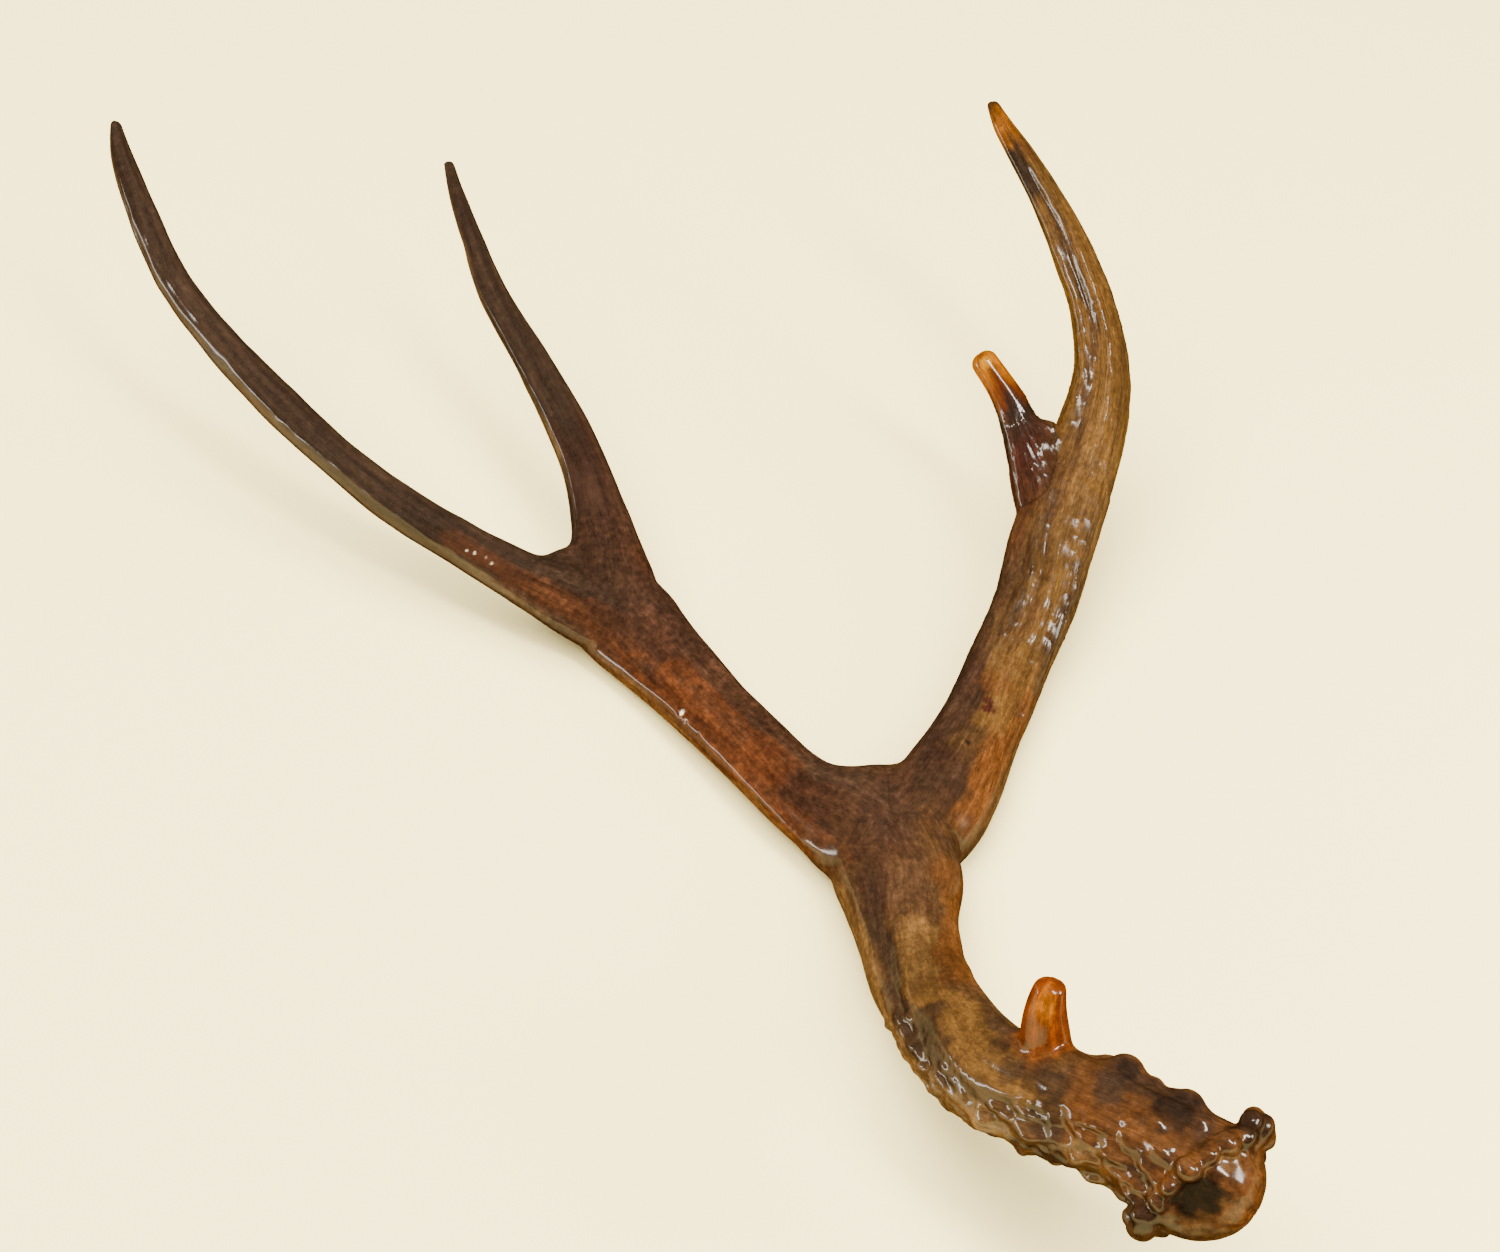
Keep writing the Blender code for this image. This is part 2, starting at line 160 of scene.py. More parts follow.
# Ridges along a branch: angle round it in degrees, height, half the width in
# degrees. 0 is the left edge, 90 the middle of the face, 180 the right edge.
BEAM_RIDGES = ((35, 1.0, 22), (150, 1.2, 20), (95, 0.6, 16))
BRANCH_RIDGES = ((32, 1.6, 20), (148, 1.0, 26))
TINE_RIDGES = ((38, 0.9, 24), (150, 0.5, 30))
BRANCHES = {
    "lower_beam": (LOWER_BEAM, BEAM_RIDGES),
    "left_branch": (LEFT_BRANCH, BRANCH_RIDGES),
    "left_tine": (LEFT_TINE, TINE_RIDGES),
    "middle_tine": (MIDDLE_TINE, TINE_RIDGES),
    "right_branch": (RIGHT_BRANCH, BRANCH_RIDGES),
    "right_tine": (RIGHT_TINE, TINE_RIDGES),
    "short_tine": (SHORT_TINE, TINE_RIDGES),
    "brow_tine": (BROW_TINE, ()),
}

# Where a branch has less than this half width, its ridges are lower.
RIDGED_WIDTH = 9

# The burr faces along its axis, with the seal bulging from it and a hollow in the seal.
BURR_AXIS = Vector((0.52, -0.85, 0.02)).normalized()
BURR_LIFT = 1.5
COLLAR_RISE = 5.5
BEADS_INSET = 3.4
SEAL_RADIUS = 17.7
SEAL_RISE = 16.8
HOLLOW_REACH = 13.0
HOLLOW_DEPTH = 4.5
# Beyond this far out from the burr's centre the skin is the shed face.
SHED_FACE = 2.5
# Within this many millimetres of the solids' box the skin is eased inwards, so that
# it fills no more than this share of that band.
EASED = 3.0
FILLED = 0.97
# Beads in the two clusters of the burr: angle, radius and shift outward.
BEAD_CLUSTERS = (
    (174, 4.4, -1.5), (188, 3.8, 0.0), (201, 3.2, -2.0), (160, 3.6, -3.0), (178, 3.6, -5.5),
    (-4, 4.4, -1.5), (11, 3.8, 0.0), (-18, 3.2, -2.0), (24, 3.2, -2.0), (0, 3.6, -5.0),
)
# Knobs on the lower beam: millimetres along it from the burr, angle, radius.
KNOBS = (
    (29, 173, 5.2), (21, 174, 2.3), (12, 172, 3.3), (7, 140, 2.0), (36, 200, 3.0),
    (79, -8, 2.1), (52, 12, 2.4), (46, -14, 3.2), (26, 18, 2.4), (16, 4, 2.2),
    (30, 42, 2.6), (20, 66, 2.2), (46, 52, 2.8), (62, 44, 2.6), (78, 40, 2.2),
    (88, 26, 2.0), (12, 36, 2.6), (10, 96, 2.2), (14, 118, 2.0),
)
# Flesh in the forks: place, and reach forwards, sideways and up.
WEBS = (
    ((90, -40, 16), (16, 18, 13)),
    ((-19.5, 60, 24), (5, 7, 7)),
    ((153, 96.5, 52.5), (5, 5.5, 7)),
)
# Cuts at the forks: place, direction along the branch, and reach.
CUTS = {
    "left_branch": ((73, -39, 14), (-0.83, 0.56, -0.03), 27),
    "right_branch": ((115, -28, 13), (0.60, 0.80, 0.00), 27),
    "left_tine": ((-32, 53, 24), (-0.89, 0.40, 0.20), 20),
    "middle_tine": ((-8, 76, 28), (-0.21, 0.93, 0.30), 20),
    "right_tine": ((172, 111, 50), (0.33, 0.83, 0.45), 20),
    "short_tine": ((143, 102, 52), (-0.45, 0.70, 0.55), 13),
}
# Where the skin is smoothed most: place, reach and rounds.
SMOOTHED = (
    ((91, -46, 18), 40, 110),
    ((-20, 63, 26), 22, 90),
    ((154, 98, 53), 15, 70),
    ((132, -164, 62), 16, 16),
)
# A place inside each piece, which tells the parted pieces from each other.
INSIDE = {
    "lower_beam": (133, -168, 58),
    "left_branch": (42, -7, 12),
    "left_tine": (-103, 96, 42),
    "middle_tine": (-35, 140, 50),
    "right_branch": (138, 20, 14),
    "right_tine": (166, 157, 80),
    "short_tine": (139, 110, 60),
}

# Narrow crests and hollows along each branch: from and to along it in millimetres,
# angle round it, half the width in degrees, height in millimetres, and how
# much of the height comes and goes along it.
RELIEF = {
    "left_branch": (
        (15, 112, 50, 9, 1.0, 0.5),
        (10, 140, 28, 12, -0.5, 0.3),
        (10, 130, 118, 14, 0.5, 0.4),
    ),
    "left_tine": (
        (60, 180, 72, 10, 0.7, 0.7),
        (150, 290, 88, 10, 0.7, 0.8),
        (40, 280, 44, 14, -0.5, 0.4),
    ),
    "middle_tine": (
        (55, 200, 54, 12, 0.6, 0.5),
        (50, 180, 92, 10, -0.35, 0.5),
        (20, 110, 130, 16, 0.4, 0.5),
    ),
    "right_branch": (
        (75, 175, 96, 11, 1.6, 0.35),
        (95, 175, 62, 9, 1.4, 0.35),
        (85, 175, 79, 8, -1.1, 0.3),
    ),
    "right_tine": (
        (-20, 150, 100, 13, 1.5, 0.35),
        (-20, 160, 40, 12, 1.5, 0.35),
        (-20, 150, 70, 11, -1.2, 0.2),
    ),
    "lower_beam": (
        (84, 180, 44, 9, 0.7, 0.5),
        (90, 180, 66, 7, -0.6, 0.5),
        (100, 185, 100, 8, -0.5, 0.6),
        (95, 165, 150, 9, 0.6, 0.9),
        (46, 80, 86, 7, 1.0, 0.4),
        (46, 72, 104, 7, -0.9, 0.4),
    ),
}
# Small marks: place, reach and depth.
DENTS = (
    ((129, -2, 23), 2.2, 0.5),
    ((130, -4, 23), 1.6, 0.4),
    ((121, -19, 24), 1.1, 0.4),
    ((141, -3, 17), 1.8, 0.6),
    ((24, -1, 16), 2.0, 0.7),
    ((26, -4, 15), 1.5, 0.5),
    ((30, -10, 15), 1.3, 0.4),
    ((-52, 58, 33), 1.5, 0.3),
    ((-46, 55, 33), 1.2, 0.3),
)

# Stain on each branch, and its zones of other stain, some of them painted sheen along
# the edges: from and to along it, from and to round it in degrees, stain, strength.
BASE_STAIN = {
    "lower_beam": "umber",
    "left_branch": "russet",
    "left_tine": "chocolate",
    "middle_tine": "chocolate",
    "right_branch": "umber",
    "right_tine": "tan",
    "short_tine": "mahogany",
    "brow_tine": "orange",
}
ZONES = {
    "lower_beam": (
        (-30, 40, 40, 220, "orange_brown", 0.6),
        (50, 98, 84, 135, "tan", 0.9),
        # Grey-tan on the lower-left side: stain with a painted sheen over it.
        (20, 100, -80, 60, "olive_and_sheen", 0.45),
        (60, 175, -80, 38, "olive_and_sheen", 0.7),
        (104, 170, 78, 125, "olive_and_sheen", 0.45),
        (82, 170, 44, 70, "chocolate", 0.75),
        (100, 150, 76, 128, "tan", 0.45),
        (100, 170, 128, 190, "orange_brown", 0.6),
        (135, 200, 70, 125, "mahogany", 0.7),
        (4, 34, 128, 175, "chocolate", 0.8),
        (150, 230, 20, 75, "mahogany", 0.6),
    ),
    "left_branch": (
        (-10, 40, 70, 200, "mahogany", 0.8),
        (10, 140, 122, 200, "chocolate", 0.75),
        # Painted sheen in grey-tan along the lower-left edge.
        (10, 150, -80, 38, "olive_and_sheen", 0.45),
        (100, 180, 70, 150, "mahogany", 0.85),
    ),
    "left_tine": (
        (-20, 70, 60, 110, "russet", 0.5),
        # Painted sheen in grey-tan along the lower-left edge.
        (30, 290, -80, 55, "olive_and_sheen", 0.2),
    ),
    "middle_tine": (
        (-20, 84, 40, 200, "mahogany", 0.9),
        # Painted sheen in grey-tan along the lower-left edge.
        (60, 210, -80, 44, "olive_and_sheen", 0.4),
    ),
    "right_branch": (
        (-10, 40, 20, 98, "mahogany", 0.85),
        (30, 84, 10, 66, "mahogany", 0.85),
        (20, 80, 96, 140, "orange_brown", 0.9),
        (62, 130, 66, 120, "tan", 0.8),
        (60, 160, 0, 44, "mahogany", 0.6),
        (0, 170, 140, 240, "olive_and_sheen", 0.5),
        (120, 170, 60, 130, "tan", 0.8),
        (138, 170, -10, 52, "plum", 0.8),
        (90, 170, 71, 86, "mahogany", 0.5),
    ),
    "right_tine": (
        (-10, 150, 60, 80, "mahogany", 0.6),
        (142, 166, 20, 85, "chocolate", 0.85),
        (152, 178, 85, 140, "orange_brown", 0.7),
        (163, 176, -90, 270, "amber", 0.7),
        (176, 190, -90, 270, "chocolate", 0.7),
    ),
    "short_tine": (
        (-10, 34, -90, 270, "plum", 0.9),
        (46, 57, -90, 270, "orange", 0.8),
        (55, 90, -90, 270, "amber", 1.0),
    ),
    "brow_tine": (
        (34, 46, 40, 110, "amber", 0.9),
        (0, 16, -90, 270, "orange_brown", 0.8),
    ),
}
# The tines that carry on the grain of the branch that they grow on.
GROWS_ON = {"left_tine": "left_branch", "middle_tine": "left_branch", "right_tine": "right_branch"}
# Stain laid on in patches, and painted shade and sheen on the seal: place, reach, stain, strength.
PATCHES = (
    # Painted shade: the seal's hollow laid nearly black.
    ((167, -208, 78), 8.5, "soot_and_shade", 0.95),
    ((157, -205, 80), 5, "orange_brown", 0.6),
    ((181, -206, 80), 5, "orange_brown", 0.6),
    # Painted sheen: grey-tan on the seal's dome beside the hollow.
    ((175, -201, 86), 4, "olive_and_sheen", 0.5),
    ((133, -171, 76), 7, "chocolate", 0.3),
    ((145, -178, 82), 6, "chocolate", 0.8),
    ((163, -186, 84), 8, "soot_and_shade", 0.75),
    ((152, -172, 78), 5, "soot_and_shade", 0.7),
    ((137, -184, 76), 5, "orange_brown", 0.5),
    ((121, -165, 68), 5, "chocolate", 0.6),
    ((118, -157, 66), 3.5, "soot_and_shade", 0.5),
    ((129, -1, 23.5), 2.2, "plum", 0.95),
    ((128.5, -4, 23.5), 2.4, "plum", 0.95),
    ((130.5, -5, 23), 2.0, "plum", 0.9),
    ((121, -19, 24.5), 1.3, "soot_and_shade", 0.9),
    ((140, -3, 18), 2.0, "chocolate", 0.7),
    ((132, 6, 24), 7, "orange_brown", 0.5),
    ((24, -1, 16), 0.9, "bone", 0.8),
    ((25.5, -3.5, 15.5), 0.8, "bone", 0.7),
    ((28, -7, 15), 0.7, "bone", 0.6),
    ((-53, 58, 33), 0.7, "bone", 0.5),
    ((-50, 57, 33), 0.6, "bone", 0.5),
    ((-46, 55, 33), 0.7, "bone", 0.5),
    ((-44, 53, 32), 0.6, "bone", 0.5),
    ((132, 114, 71), 2.8, "honey", 1.0),
    ((183, -191, 87), 9, "soot_and_shade", 0.8),
    ((150, -211, 71), 8, "soot_and_shade", 0.7),
)
# Where the lacquer shines less or more than elsewhere: place, reach and share.
GLOSS_PATCHES = (
    ((167, -208, 75), 11, 0.15),
    ((145, 98, 58), 12, 1.3),
)
# How much dark blotching each branch has, and how many fine specks.
BLOTCHED = {
    "lower_beam": (0.75, 0.5),
    "left_branch": (0.35, 0.9),
    "left_tine": (0.3, 0.5),
    "middle_tine": (0.3, 0.5),
    "right_branch": (0.5, 0.35),
    "right_tine": (0.35, 0.3),
    "short_tine": (0.3, 0.2),
    "brow_tine": (0.25, 0.3),
}


# Creases in the right fork: seed, length, from and to along the branch, softness, strength.
WRINKLES = {
    "right_branch": (4, 0.7, 85, 190, 50, 1.0),
    "right_tine": (5, 0.7, -30, 110, 50, 1.0),
    "short_tine": (6, 0.6, -20, 46, 20, 1.3),
}
# Grooves round the lower beam, and round the other branches.
BEAM_GROOVES = 26
GROOVES = 16
# The gentle unevenness all over: its height and the size of its lumps.
UNEVEN = 0.22
UNEVEN_SIZE = 9
PEARL_SPACING = 2.6
PEARL_DENSITY = 0.16
PEARL_SEED = 3
BEAD_SEED = 5
# How sharply one branch's shape and stain give way to the next one's.
SHAPE_SHARPNESS = 9
STAIN_SHARPNESS = 5
# The grain's coordinates: a step for each millimetre along, the turn round, and how far
# the branches' coordinates lie from each other; the shed face has its own step.
GRAIN_STEP = 0.12
GRAIN_ROUND = 12
GRAIN_APART = 40
SHED_STEP = 0.22
# Half the width of the band of faces that a cut goes through.
CUT_BAND = 3
# A patch ends at this share of its reach.
PATCH_RIM = 0.85

# How each piece is finished: streaks, mottle, specks, creases, bump, and the lacquer's
# strength and roughness.
FINISHES = {
    "lower_beam": (0.8, 1.1, 0.35, 0.5, 0.60, 0.85, 0.15),
    "left_branch": (0.8, 1.5, 0.7, 0.3, 0.45, 0.55, 0.13),
    "left_tine": (0.6, 0.6, 0.3, 0.5, 0.60, 0.80, 0.18),
    "middle_tine": (0.6, 0.6, 0.3, 0.5, 0.60, 0.60, 0.18),
    "right_branch": (1.1, 0.9, 0.25, 1.2, 0.80, 0.70, 0.18),
    "right_tine": (1.1, 0.9, 0.2, 1.6, 0.90, 0.80, 0.18),
    "short_tine": (0.7, 0.8, 0.2, 1.6, 0.90, 0.90, 0.15),
}
BUMP_DEPTH = 0.0004
LACQUER_IOR = 1.45
# The lacquer fades out between these two shares of turning away from the eye.
LACQUER_FADE = (0.12, 0.52)

WARM = (1.0, 0.94, 0.82)
# Lights: place, target, size in metres, and whether the lacquer mirrors them.
LIGHTS = {
    "left_light": ((-1.1, -0.10, 0.20), (0.0, 0.0, 0.03), (0.80, 0.14), True),
    "right_light": ((1.1, -0.35, 0.50), (0.05, 0.0, 0.03), (0.30, 0.30), True),
    "front_light": ((0.62, -0.42, 1.05), (0.05, 0.0, 0.03), (0.18, 0.70), True),
    "overhead": ((-0.4, 0.2, 2.2), (0.0, 0.0, 0.0), (2.4, 2.0), False),
}
FLOOR_REACH = 4.0
CAMERA_PLACE = (0.04745, -0.47534, 0.64922)
SENSOR_WIDTH = 36.0


def length_property(label, words, default, least=0.0):
    return FloatProperty(
        name=label, description=words, default=default, min=least, subtype="DISTANCE", unit="LENGTH",
    )


def power_property(label, words, default):
    return FloatProperty(name=label, description=words, default=default, unit="POWER")


def colour_property(label, words, default):
    return FloatVectorProperty(
        name=label, description=words, default=default, size=3, subtype="COLOR", min=0, max=1,
    )


class AntlerSizes(PropertyGroup):
    skin_grain: length_property("Skin grain", "Size of the skin's finest faces", 0.0007, 0.0005)
    burr_radius: length_property("Burr radius", "Radius of the beaded ring at the root", 0.0220)
    burr_bead: length_property("Burr bead", "Mean radius of a bead of the burr", 0.0034)
    burr_beads: IntProperty(name="Burr beads", description="Beads round the burr", default=17, min=3)
    pearl: length_property("Pearl", "Mean radius of a pearl on the lower beam", 0.0017)
    groove: length_property("Groove depth", "Depth of the long grooves of the beam", 0.00055)
    crinkle: length_property("Crinkle depth", "Depth of the wrinkles at the right fork", 0.00020)


class AntlerColours(PropertyGroup):
    # Nearly black: dark stain on the beam and the burr, and painted shade in the seal's hollow.
    soot_and_shade: colour_property("Soot", "Nearly black stain in hollows", (0.0050, 0.0030, 0.0020))
    chocolate: colour_property("Chocolate", "Dark stain of the left tines", (0.0165, 0.0092, 0.0055))
    plum: colour_property("Plum", "Dark red stain of the web", (0.0230, 0.0060, 0.0036))
    mahogany: colour_property("Mahogany", "Dark red-brown stain at the forks", (0.0180, 0.0080, 0.0046))
    russet: colour_property("Russet", "Warm brown stain of the left branch", (0.0440, 0.0135, 0.0044))
    umber: colour_property("Umber", "Brown stain of the lower beam", (0.0300, 0.0145, 0.0052))
    orange_brown: colour_property("Orange brown", "Warm stain near the burr", (0.0560, 0.0190, 0.0044))
    orange: colour_property("Orange", "Stain of the brow tine", (0.0900, 0.0170, 0.0004))
    tan: colour_property("Tan", "Pale stain of the right branch", (0.0670, 0.0320, 0.0080))
    # Grey-tan stain, and painted sheen along the lower-left edges and on the seal.
    olive_and_sheen: colour_property("Olive", "Grey-tan where little stain holds", (0.0760, 0.0400, 0.0140))
    amber: colour_property("Amber", "Clear horn at the tips", (0.2200, 0.0640, 0.0003))
    honey: colour_property("Honey", "The worn end of the short tine", (0.3300, 0.1350, 0.0010))
    bone: colour_property("Bone", "Pale chips and worn specks", (0.7605, 0.6724, 0.5149))


class StageSettings(PropertyGroup):
    floor: colour_property("Floor", "Pale surface under the antler", (0.94, 0.81, 0.38))
    left_light: power_property("Left light", "Power of the left light", 14.0)
    right_light: power_property("Right light", "Power of the right light", 14.0)
    front_light: power_property("Front light", "Power of the light right of the camera", 26.0)
    overhead: power_property("Overhead", "Power of the wide soft light", 265.0)
    room: FloatProperty(name="Room light", description="Strength of the even room light", default=0.22)
    lens: FloatProperty(
        name="Lens", description="Focal length of the camera", default=55.2, subtype="DISTANCE_CAMERA",
    )
    tilt: FloatProperty(
        name="Camera elevation", description="How far the camera looks down",
        default=math.radians(51), subtype="ANGLE", unit="ROTATION",
    )


def between(rows, position):
    """A row read from the smooth curve through the rows, by its number."""
    last = len(rows) - 1
    start = min(int(position), last - 1)
    t = position - start
    a = rows[max(start - 1, 0)]
    b = rows[start]
    c = rows[start + 1]
    d = rows[min(start + 2, last)]
    row = []
    for p, q, r, s in zip(a, b, c, d):
        bend = 2 * p - 5 * q + 4 * r - s
        twist = 3 * q - p - 3 * r + s
        row.append(0.5 * (2 * q + (r - p) * t + bend * t * t + twist * t ** 3))
    return row


def axes_at(rows, position):
    """Centre, direction along the branch, and its left and face directions."""
    last = len(rows) - 1
    ahead = Vector(between(rows, min(position + 0.2, last))[:3])
    behind = Vector(between(rows, max(position - 0.2, 0))[:3])
    along = (ahead - behind).normalized()
    left = FACE.cross(along).normalized()
    return Vector(between(rows, position)[:3]), along, left, along.cross(left).normalized()


def turned_from(angle, middle):
    """Degrees from a middle angle, from -180 to 180."""
    return (angle - middle + 180) % 360 - 180


def section_point(rows, position, angle, ridges):
    """A point on a branch's skin, at a row number and an angle round it."""
    centre, _, left, face = axes_at(rows, position)
    width, thickness = between(rows, position)[3:5]
    swell = 0.0
    for ridge_angle, height, half_width in ridges:
        off = turned_from(angle, ridge_angle)
        swell += height * math.exp(-(off / half_width) ** 2) * min(1.0, width / RIDGED_WIDTH)
    turn = math.radians(angle)
    sideways = left * ((width + swell) * math.cos(turn))
    return centre + sideways + face * ((thickness + swell) * math.sin(turn))


def bridge(mesh, lower, upper, outward=True):
    """Faces between two rings of vertices."""
    count = len(lower)
    for k in range(count):
        after = (k + 1) % count
        corners = (lower[k], lower[after], upper[after], upper[k])
        mesh.faces.new(corners if outward else tuple(reversed(corners)))


def add_branch(mesh, rows, ridges, sides=40, steps=8):
    """A closed tube along a branch, with a round end at its root and its tip."""
    last = len(rows) - 1
    turns = [360 * k / sides for k in range(sides)]
    rings = []
    for i in range(last * steps + 1):
        rings.append([mesh.verts.new(section_point(rows, i / steps, turn, ridges)) for turn in turns])
    for lower, upper in zip(rings, rings[1:]):
        bridge(mesh, lower, upper)
    for end, position, sense in ((0, 0, -1), (-1, last, 1)):
        centre, along = axes_at(rows, position)[:2]
        reach = 0.75 * between(rows, position)[4] * sense
        previous = rings[end]
        for lift in (22, 45, 67):
            rise = math.radians(lift)
            middle = centre + along * (reach * math.sin(rise))
            ring = []
            for turn in turns:
                flat = section_point(rows, position, turn, ridges) - centre
                ring.append(mesh.verts.new(middle + flat * math.cos(rise)))
            bridge(mesh, previous, ring, sense > 0)
            previous = ring
        pole = mesh.verts.new(centre + along * reach)
        for k in range(sides):
            pair = (previous[k], previous[(k + 1) % sides])
            mesh.faces.new((*pair, pole) if sense > 0 else (*reversed(pair), pole))


def set_at(centre, x, y, z):
    """The matrix that lays a shape's own x, y and z along three directions at a place."""
    place = Matrix((x, y, z)).transposed().to_4x4()
    place.translation = centre
    return place


def add_lump(mesh, centre, radii, along, left):
    """An ellipsoid whose radii run along, left and outward."""
    place = set_at(centre, along * radii[0], left * radii[1], along.cross(left) * radii[2])
    bmesh.ops.create_icosphere(mesh, subdivisions=3, radius=1.0, matrix=place)


def beam_position(along_mm):
    """The row number at a distance along the lower beam from the burr."""
    walked = 0.0
    position = 0.0
    previous = Vector(between(LOWER_BEAM, 0)[:3])
    while walked < along_mm and position < len(LOWER_BEAM) - 1:
        position += 0.05
        here = Vector(between(LOWER_BEAM, position)[:3])
        walked += (here - previous).length
        previous = here
    return position


def add_knobs(mesh):
    """The knobs of the lower beam, each with a wider foot."""
    for number, (along_mm, angle, radius) in enumerate(KNOBS):
        position = beam_position(along_mm)
        centre, along = axes_at(LOWER_BEAM, position)[:2]
        skin = section_point(LOWER_BEAM, position, angle, BEAM_RIDGES)
        outward = (skin - centre).normalized()
        across = outward.cross(along).normalized()
        stretch = 1.1 + 0.15 * (number % 5)
        add_lump(mesh, skin, (radius * stretch, radius, radius), along, across)
        foot = skin - outward * (radius * 0.35)
        footing = (radius * stretch * 1.7, radius * 1.5, radius * 0.9)
        add_lump(mesh, foot, footing, along, across)


def burr_axes():
    """Centre of the burr, its outward axis, and two directions across it."""
    centre = Vector(LOWER_BEAM[0][:3])
    left = BURR_AXIS.cross(FACE).normalized()
    return centre, BURR_AXIS, left, left.cross(BURR_AXIS).normalized()


def new_tree(name, kind, inputs, outputs):
    """An empty node tree with its named sockets, and its two ends."""
    tree = bpy.data.node_groups.new(name, kind)
    for way, sockets in (("OUTPUT", outputs), ("INPUT", inputs)):
        for label, socket in sockets:
            tree.interface.new_socket(label, in_out=way, socket_type="NodeSocket" + socket)
    return tree, tree.nodes.new("NodeGroupInput"), tree.nodes.new("NodeGroupOutput")


def bead_tail(tree, source, end, points, least, most, rotation=None):
    """Beads of random size on the points, realized and given their material."""
    nodes, links = tree.nodes, tree.links
    bead = nodes.new("GeometryNodeMeshIcoSphere")
    bead.inputs["Radius"].default_value = 1.0
    bead.inputs["Subdivisions"].default_value = 3
    chance = nodes.new("FunctionNodeRandomValue")
    chance.data_type = "FLOAT_VECTOR"
    enabled = {socket.name: socket for socket in chance.inputs if socket.enabled}
    enabled["Min"].default_value = least
    enabled["Max"].default_value = most
    measure = next(socket for socket in chance.outputs if socket.enabled)
    size = nodes.new("ShaderNodeVectorMath")
    size.operation = "SCALE"
    place = nodes.new("GeometryNodeInstanceOnPoints")
    real = nodes.new("GeometryNodeRealizeInstances")
    paint = nodes.new("GeometryNodeSetMaterial")
    for output, socket in (
        (source.outputs["Seed"], chance.inputs["Seed"]),
        (measure, size.inputs[0]),
        (source.outputs["Bead Size"], size.inputs["Scale"]),
        (points, place.inputs["Points"]),
        (bead.outputs["Mesh"], place.inputs["Instance"]),
        (size.outputs["Vector"], place.inputs["Scale"]),
        (place.outputs["Instances"], real.inputs["Geometry"]),
        (real.outputs["Geometry"], paint.inputs["Geometry"]),
        (source.outputs["Material"], paint.inputs["Material"]),
        (paint.outputs["Geometry"], end.inputs["Geometry"]),
    ):
        links.new(output, socket)
    if rotation is not None:
        links.new(rotation, place.inputs["Rotation"])


BEAD_INPUTS = (("Bead Size", "Float"), ("Seed", "Int"), ("Material", "Material"))


def burr_tree():
    """Beads evenly round a ring."""
    inputs = (("Geometry", "Geometry"), ("Count", "Int"), ("Ring Radius", "Float"), *BEAD_INPUTS)
    tree, source, end = new_tree("Burr Beads", "GeometryNodeTree", inputs, (("Geometry", "Geometry"),))
    ring = tree.nodes.new("GeometryNodeMeshCircle")
    tree.links.new(source.outputs["Count"], ring.inputs["Vertices"])
    tree.links.new(source.outputs["Ring Radius"], ring.inputs["Radius"])
    bead_tail(tree, source, end, ring.outputs["Mesh"], (0.7, 0.7, 0.7), (1.25, 1.25, 1.25))
    return tree


def named_attribute(tree, name, kind):
    """The output of a stored attribute of the mesh."""
    node = tree.nodes.new("GeometryNodeInputNamedAttribute")
    node.data_type = kind
    node.inputs["Name"].default_value = name
    return node.outputs["Attribute"]


def pearl_tree():
    """Pearls scattered over the skin where its pearled attribute says."""
    inputs = (("Geometry", "Geometry"), ("Spacing", "Float"), ("Density", "Float"), *BEAD_INPUTS)
    tree, source, end = new_tree("Beam Pearls", "GeometryNodeTree", inputs, (("Geometry", "Geometry"),))
    scatter = tree.nodes.new("GeometryNodeDistributePointsOnFaces")
    scatter.distribute_method = "POISSON"
    turned = tree.nodes.new("FunctionNodeAlignRotationToVector")
    turned.axis = "X"
    turned.pivot_axis = "Z"
    for output, socket in (
        (source.outputs["Geometry"], scatter.inputs["Mesh"]),
        (source.outputs["Spacing"], scatter.inputs["Distance Min"]),
        (source.outputs["Density"], scatter.inputs["Density Max"]),
        (named_attribute(tree, "pearled", "FLOAT"), scatter.inputs["Density Factor"]),
        (source.outputs["Seed"], scatter.inputs["Seed"]),
        (scatter.outputs["Rotation"], turned.inputs["Rotation"]),
        (named_attribute(tree, "run", "FLOAT_VECTOR"), turned.inputs["Vector"]),
    ):
        tree.links.new(output, socket)
    least, most = (0.9, 0.6, 0.4), (2.1, 1.1, 0.8)
    bead_tail(tree, source, end, scatter.outputs["Points"], least, most, turned.outputs["Rotation"])
    return tree


def in_scene(name, data):
    """A new object of the data, linked to the scene."""
    holder = bpy.data.objects.new(name, data)
    bpy.context.scene.collection.objects.link(holder)
    return holder


def baked(holder):
    """The plain mesh of an object with its modifier applied; the object goes."""
    graph = bpy.context.evaluated_depsgraph_get()
    result = bpy.data.meshes.new_from_object(holder.evaluated_get(graph))
    bpy.data.objects.remove(holder, do_unlink=True)
    return result


def grown_by(tree, shape, values):
    """The plain mesh that a geometry tree makes of a mesh, with its inputs set by name."""
    holder = in_scene(tree.name, shape)
    modifier = holder.modifiers.new(tree.name, "NODES")
    modifier.node_group = tree
    for item in tree.interface.items_tree:
        if item.in_out == "INPUT" and item.name in values:
            modifier[item.identifier] = values[item.name]
    return baked(holder)


def remeshed(shape, grain):
    """One closed skin round all the overlapping shapes of a mesh."""
    holder = in_scene("holder", shape)
    modifier = holder.modifiers.new("skin", "REMESH")
    modifier.mode = "VOXEL"
    modifier.voxel_size = grain
    return baked(holder)


def read_points(shape, what="co"):
    values = np.empty(len(shape.vertices) * 3, dtype=np.float64)
    shape.vertices.foreach_get(what, values)
    return values.reshape(-1, 3)


def write_points(shape, points):
    shape.vertices.foreach_set("co", points.astype(np.float32).ravel())
    shape.update()


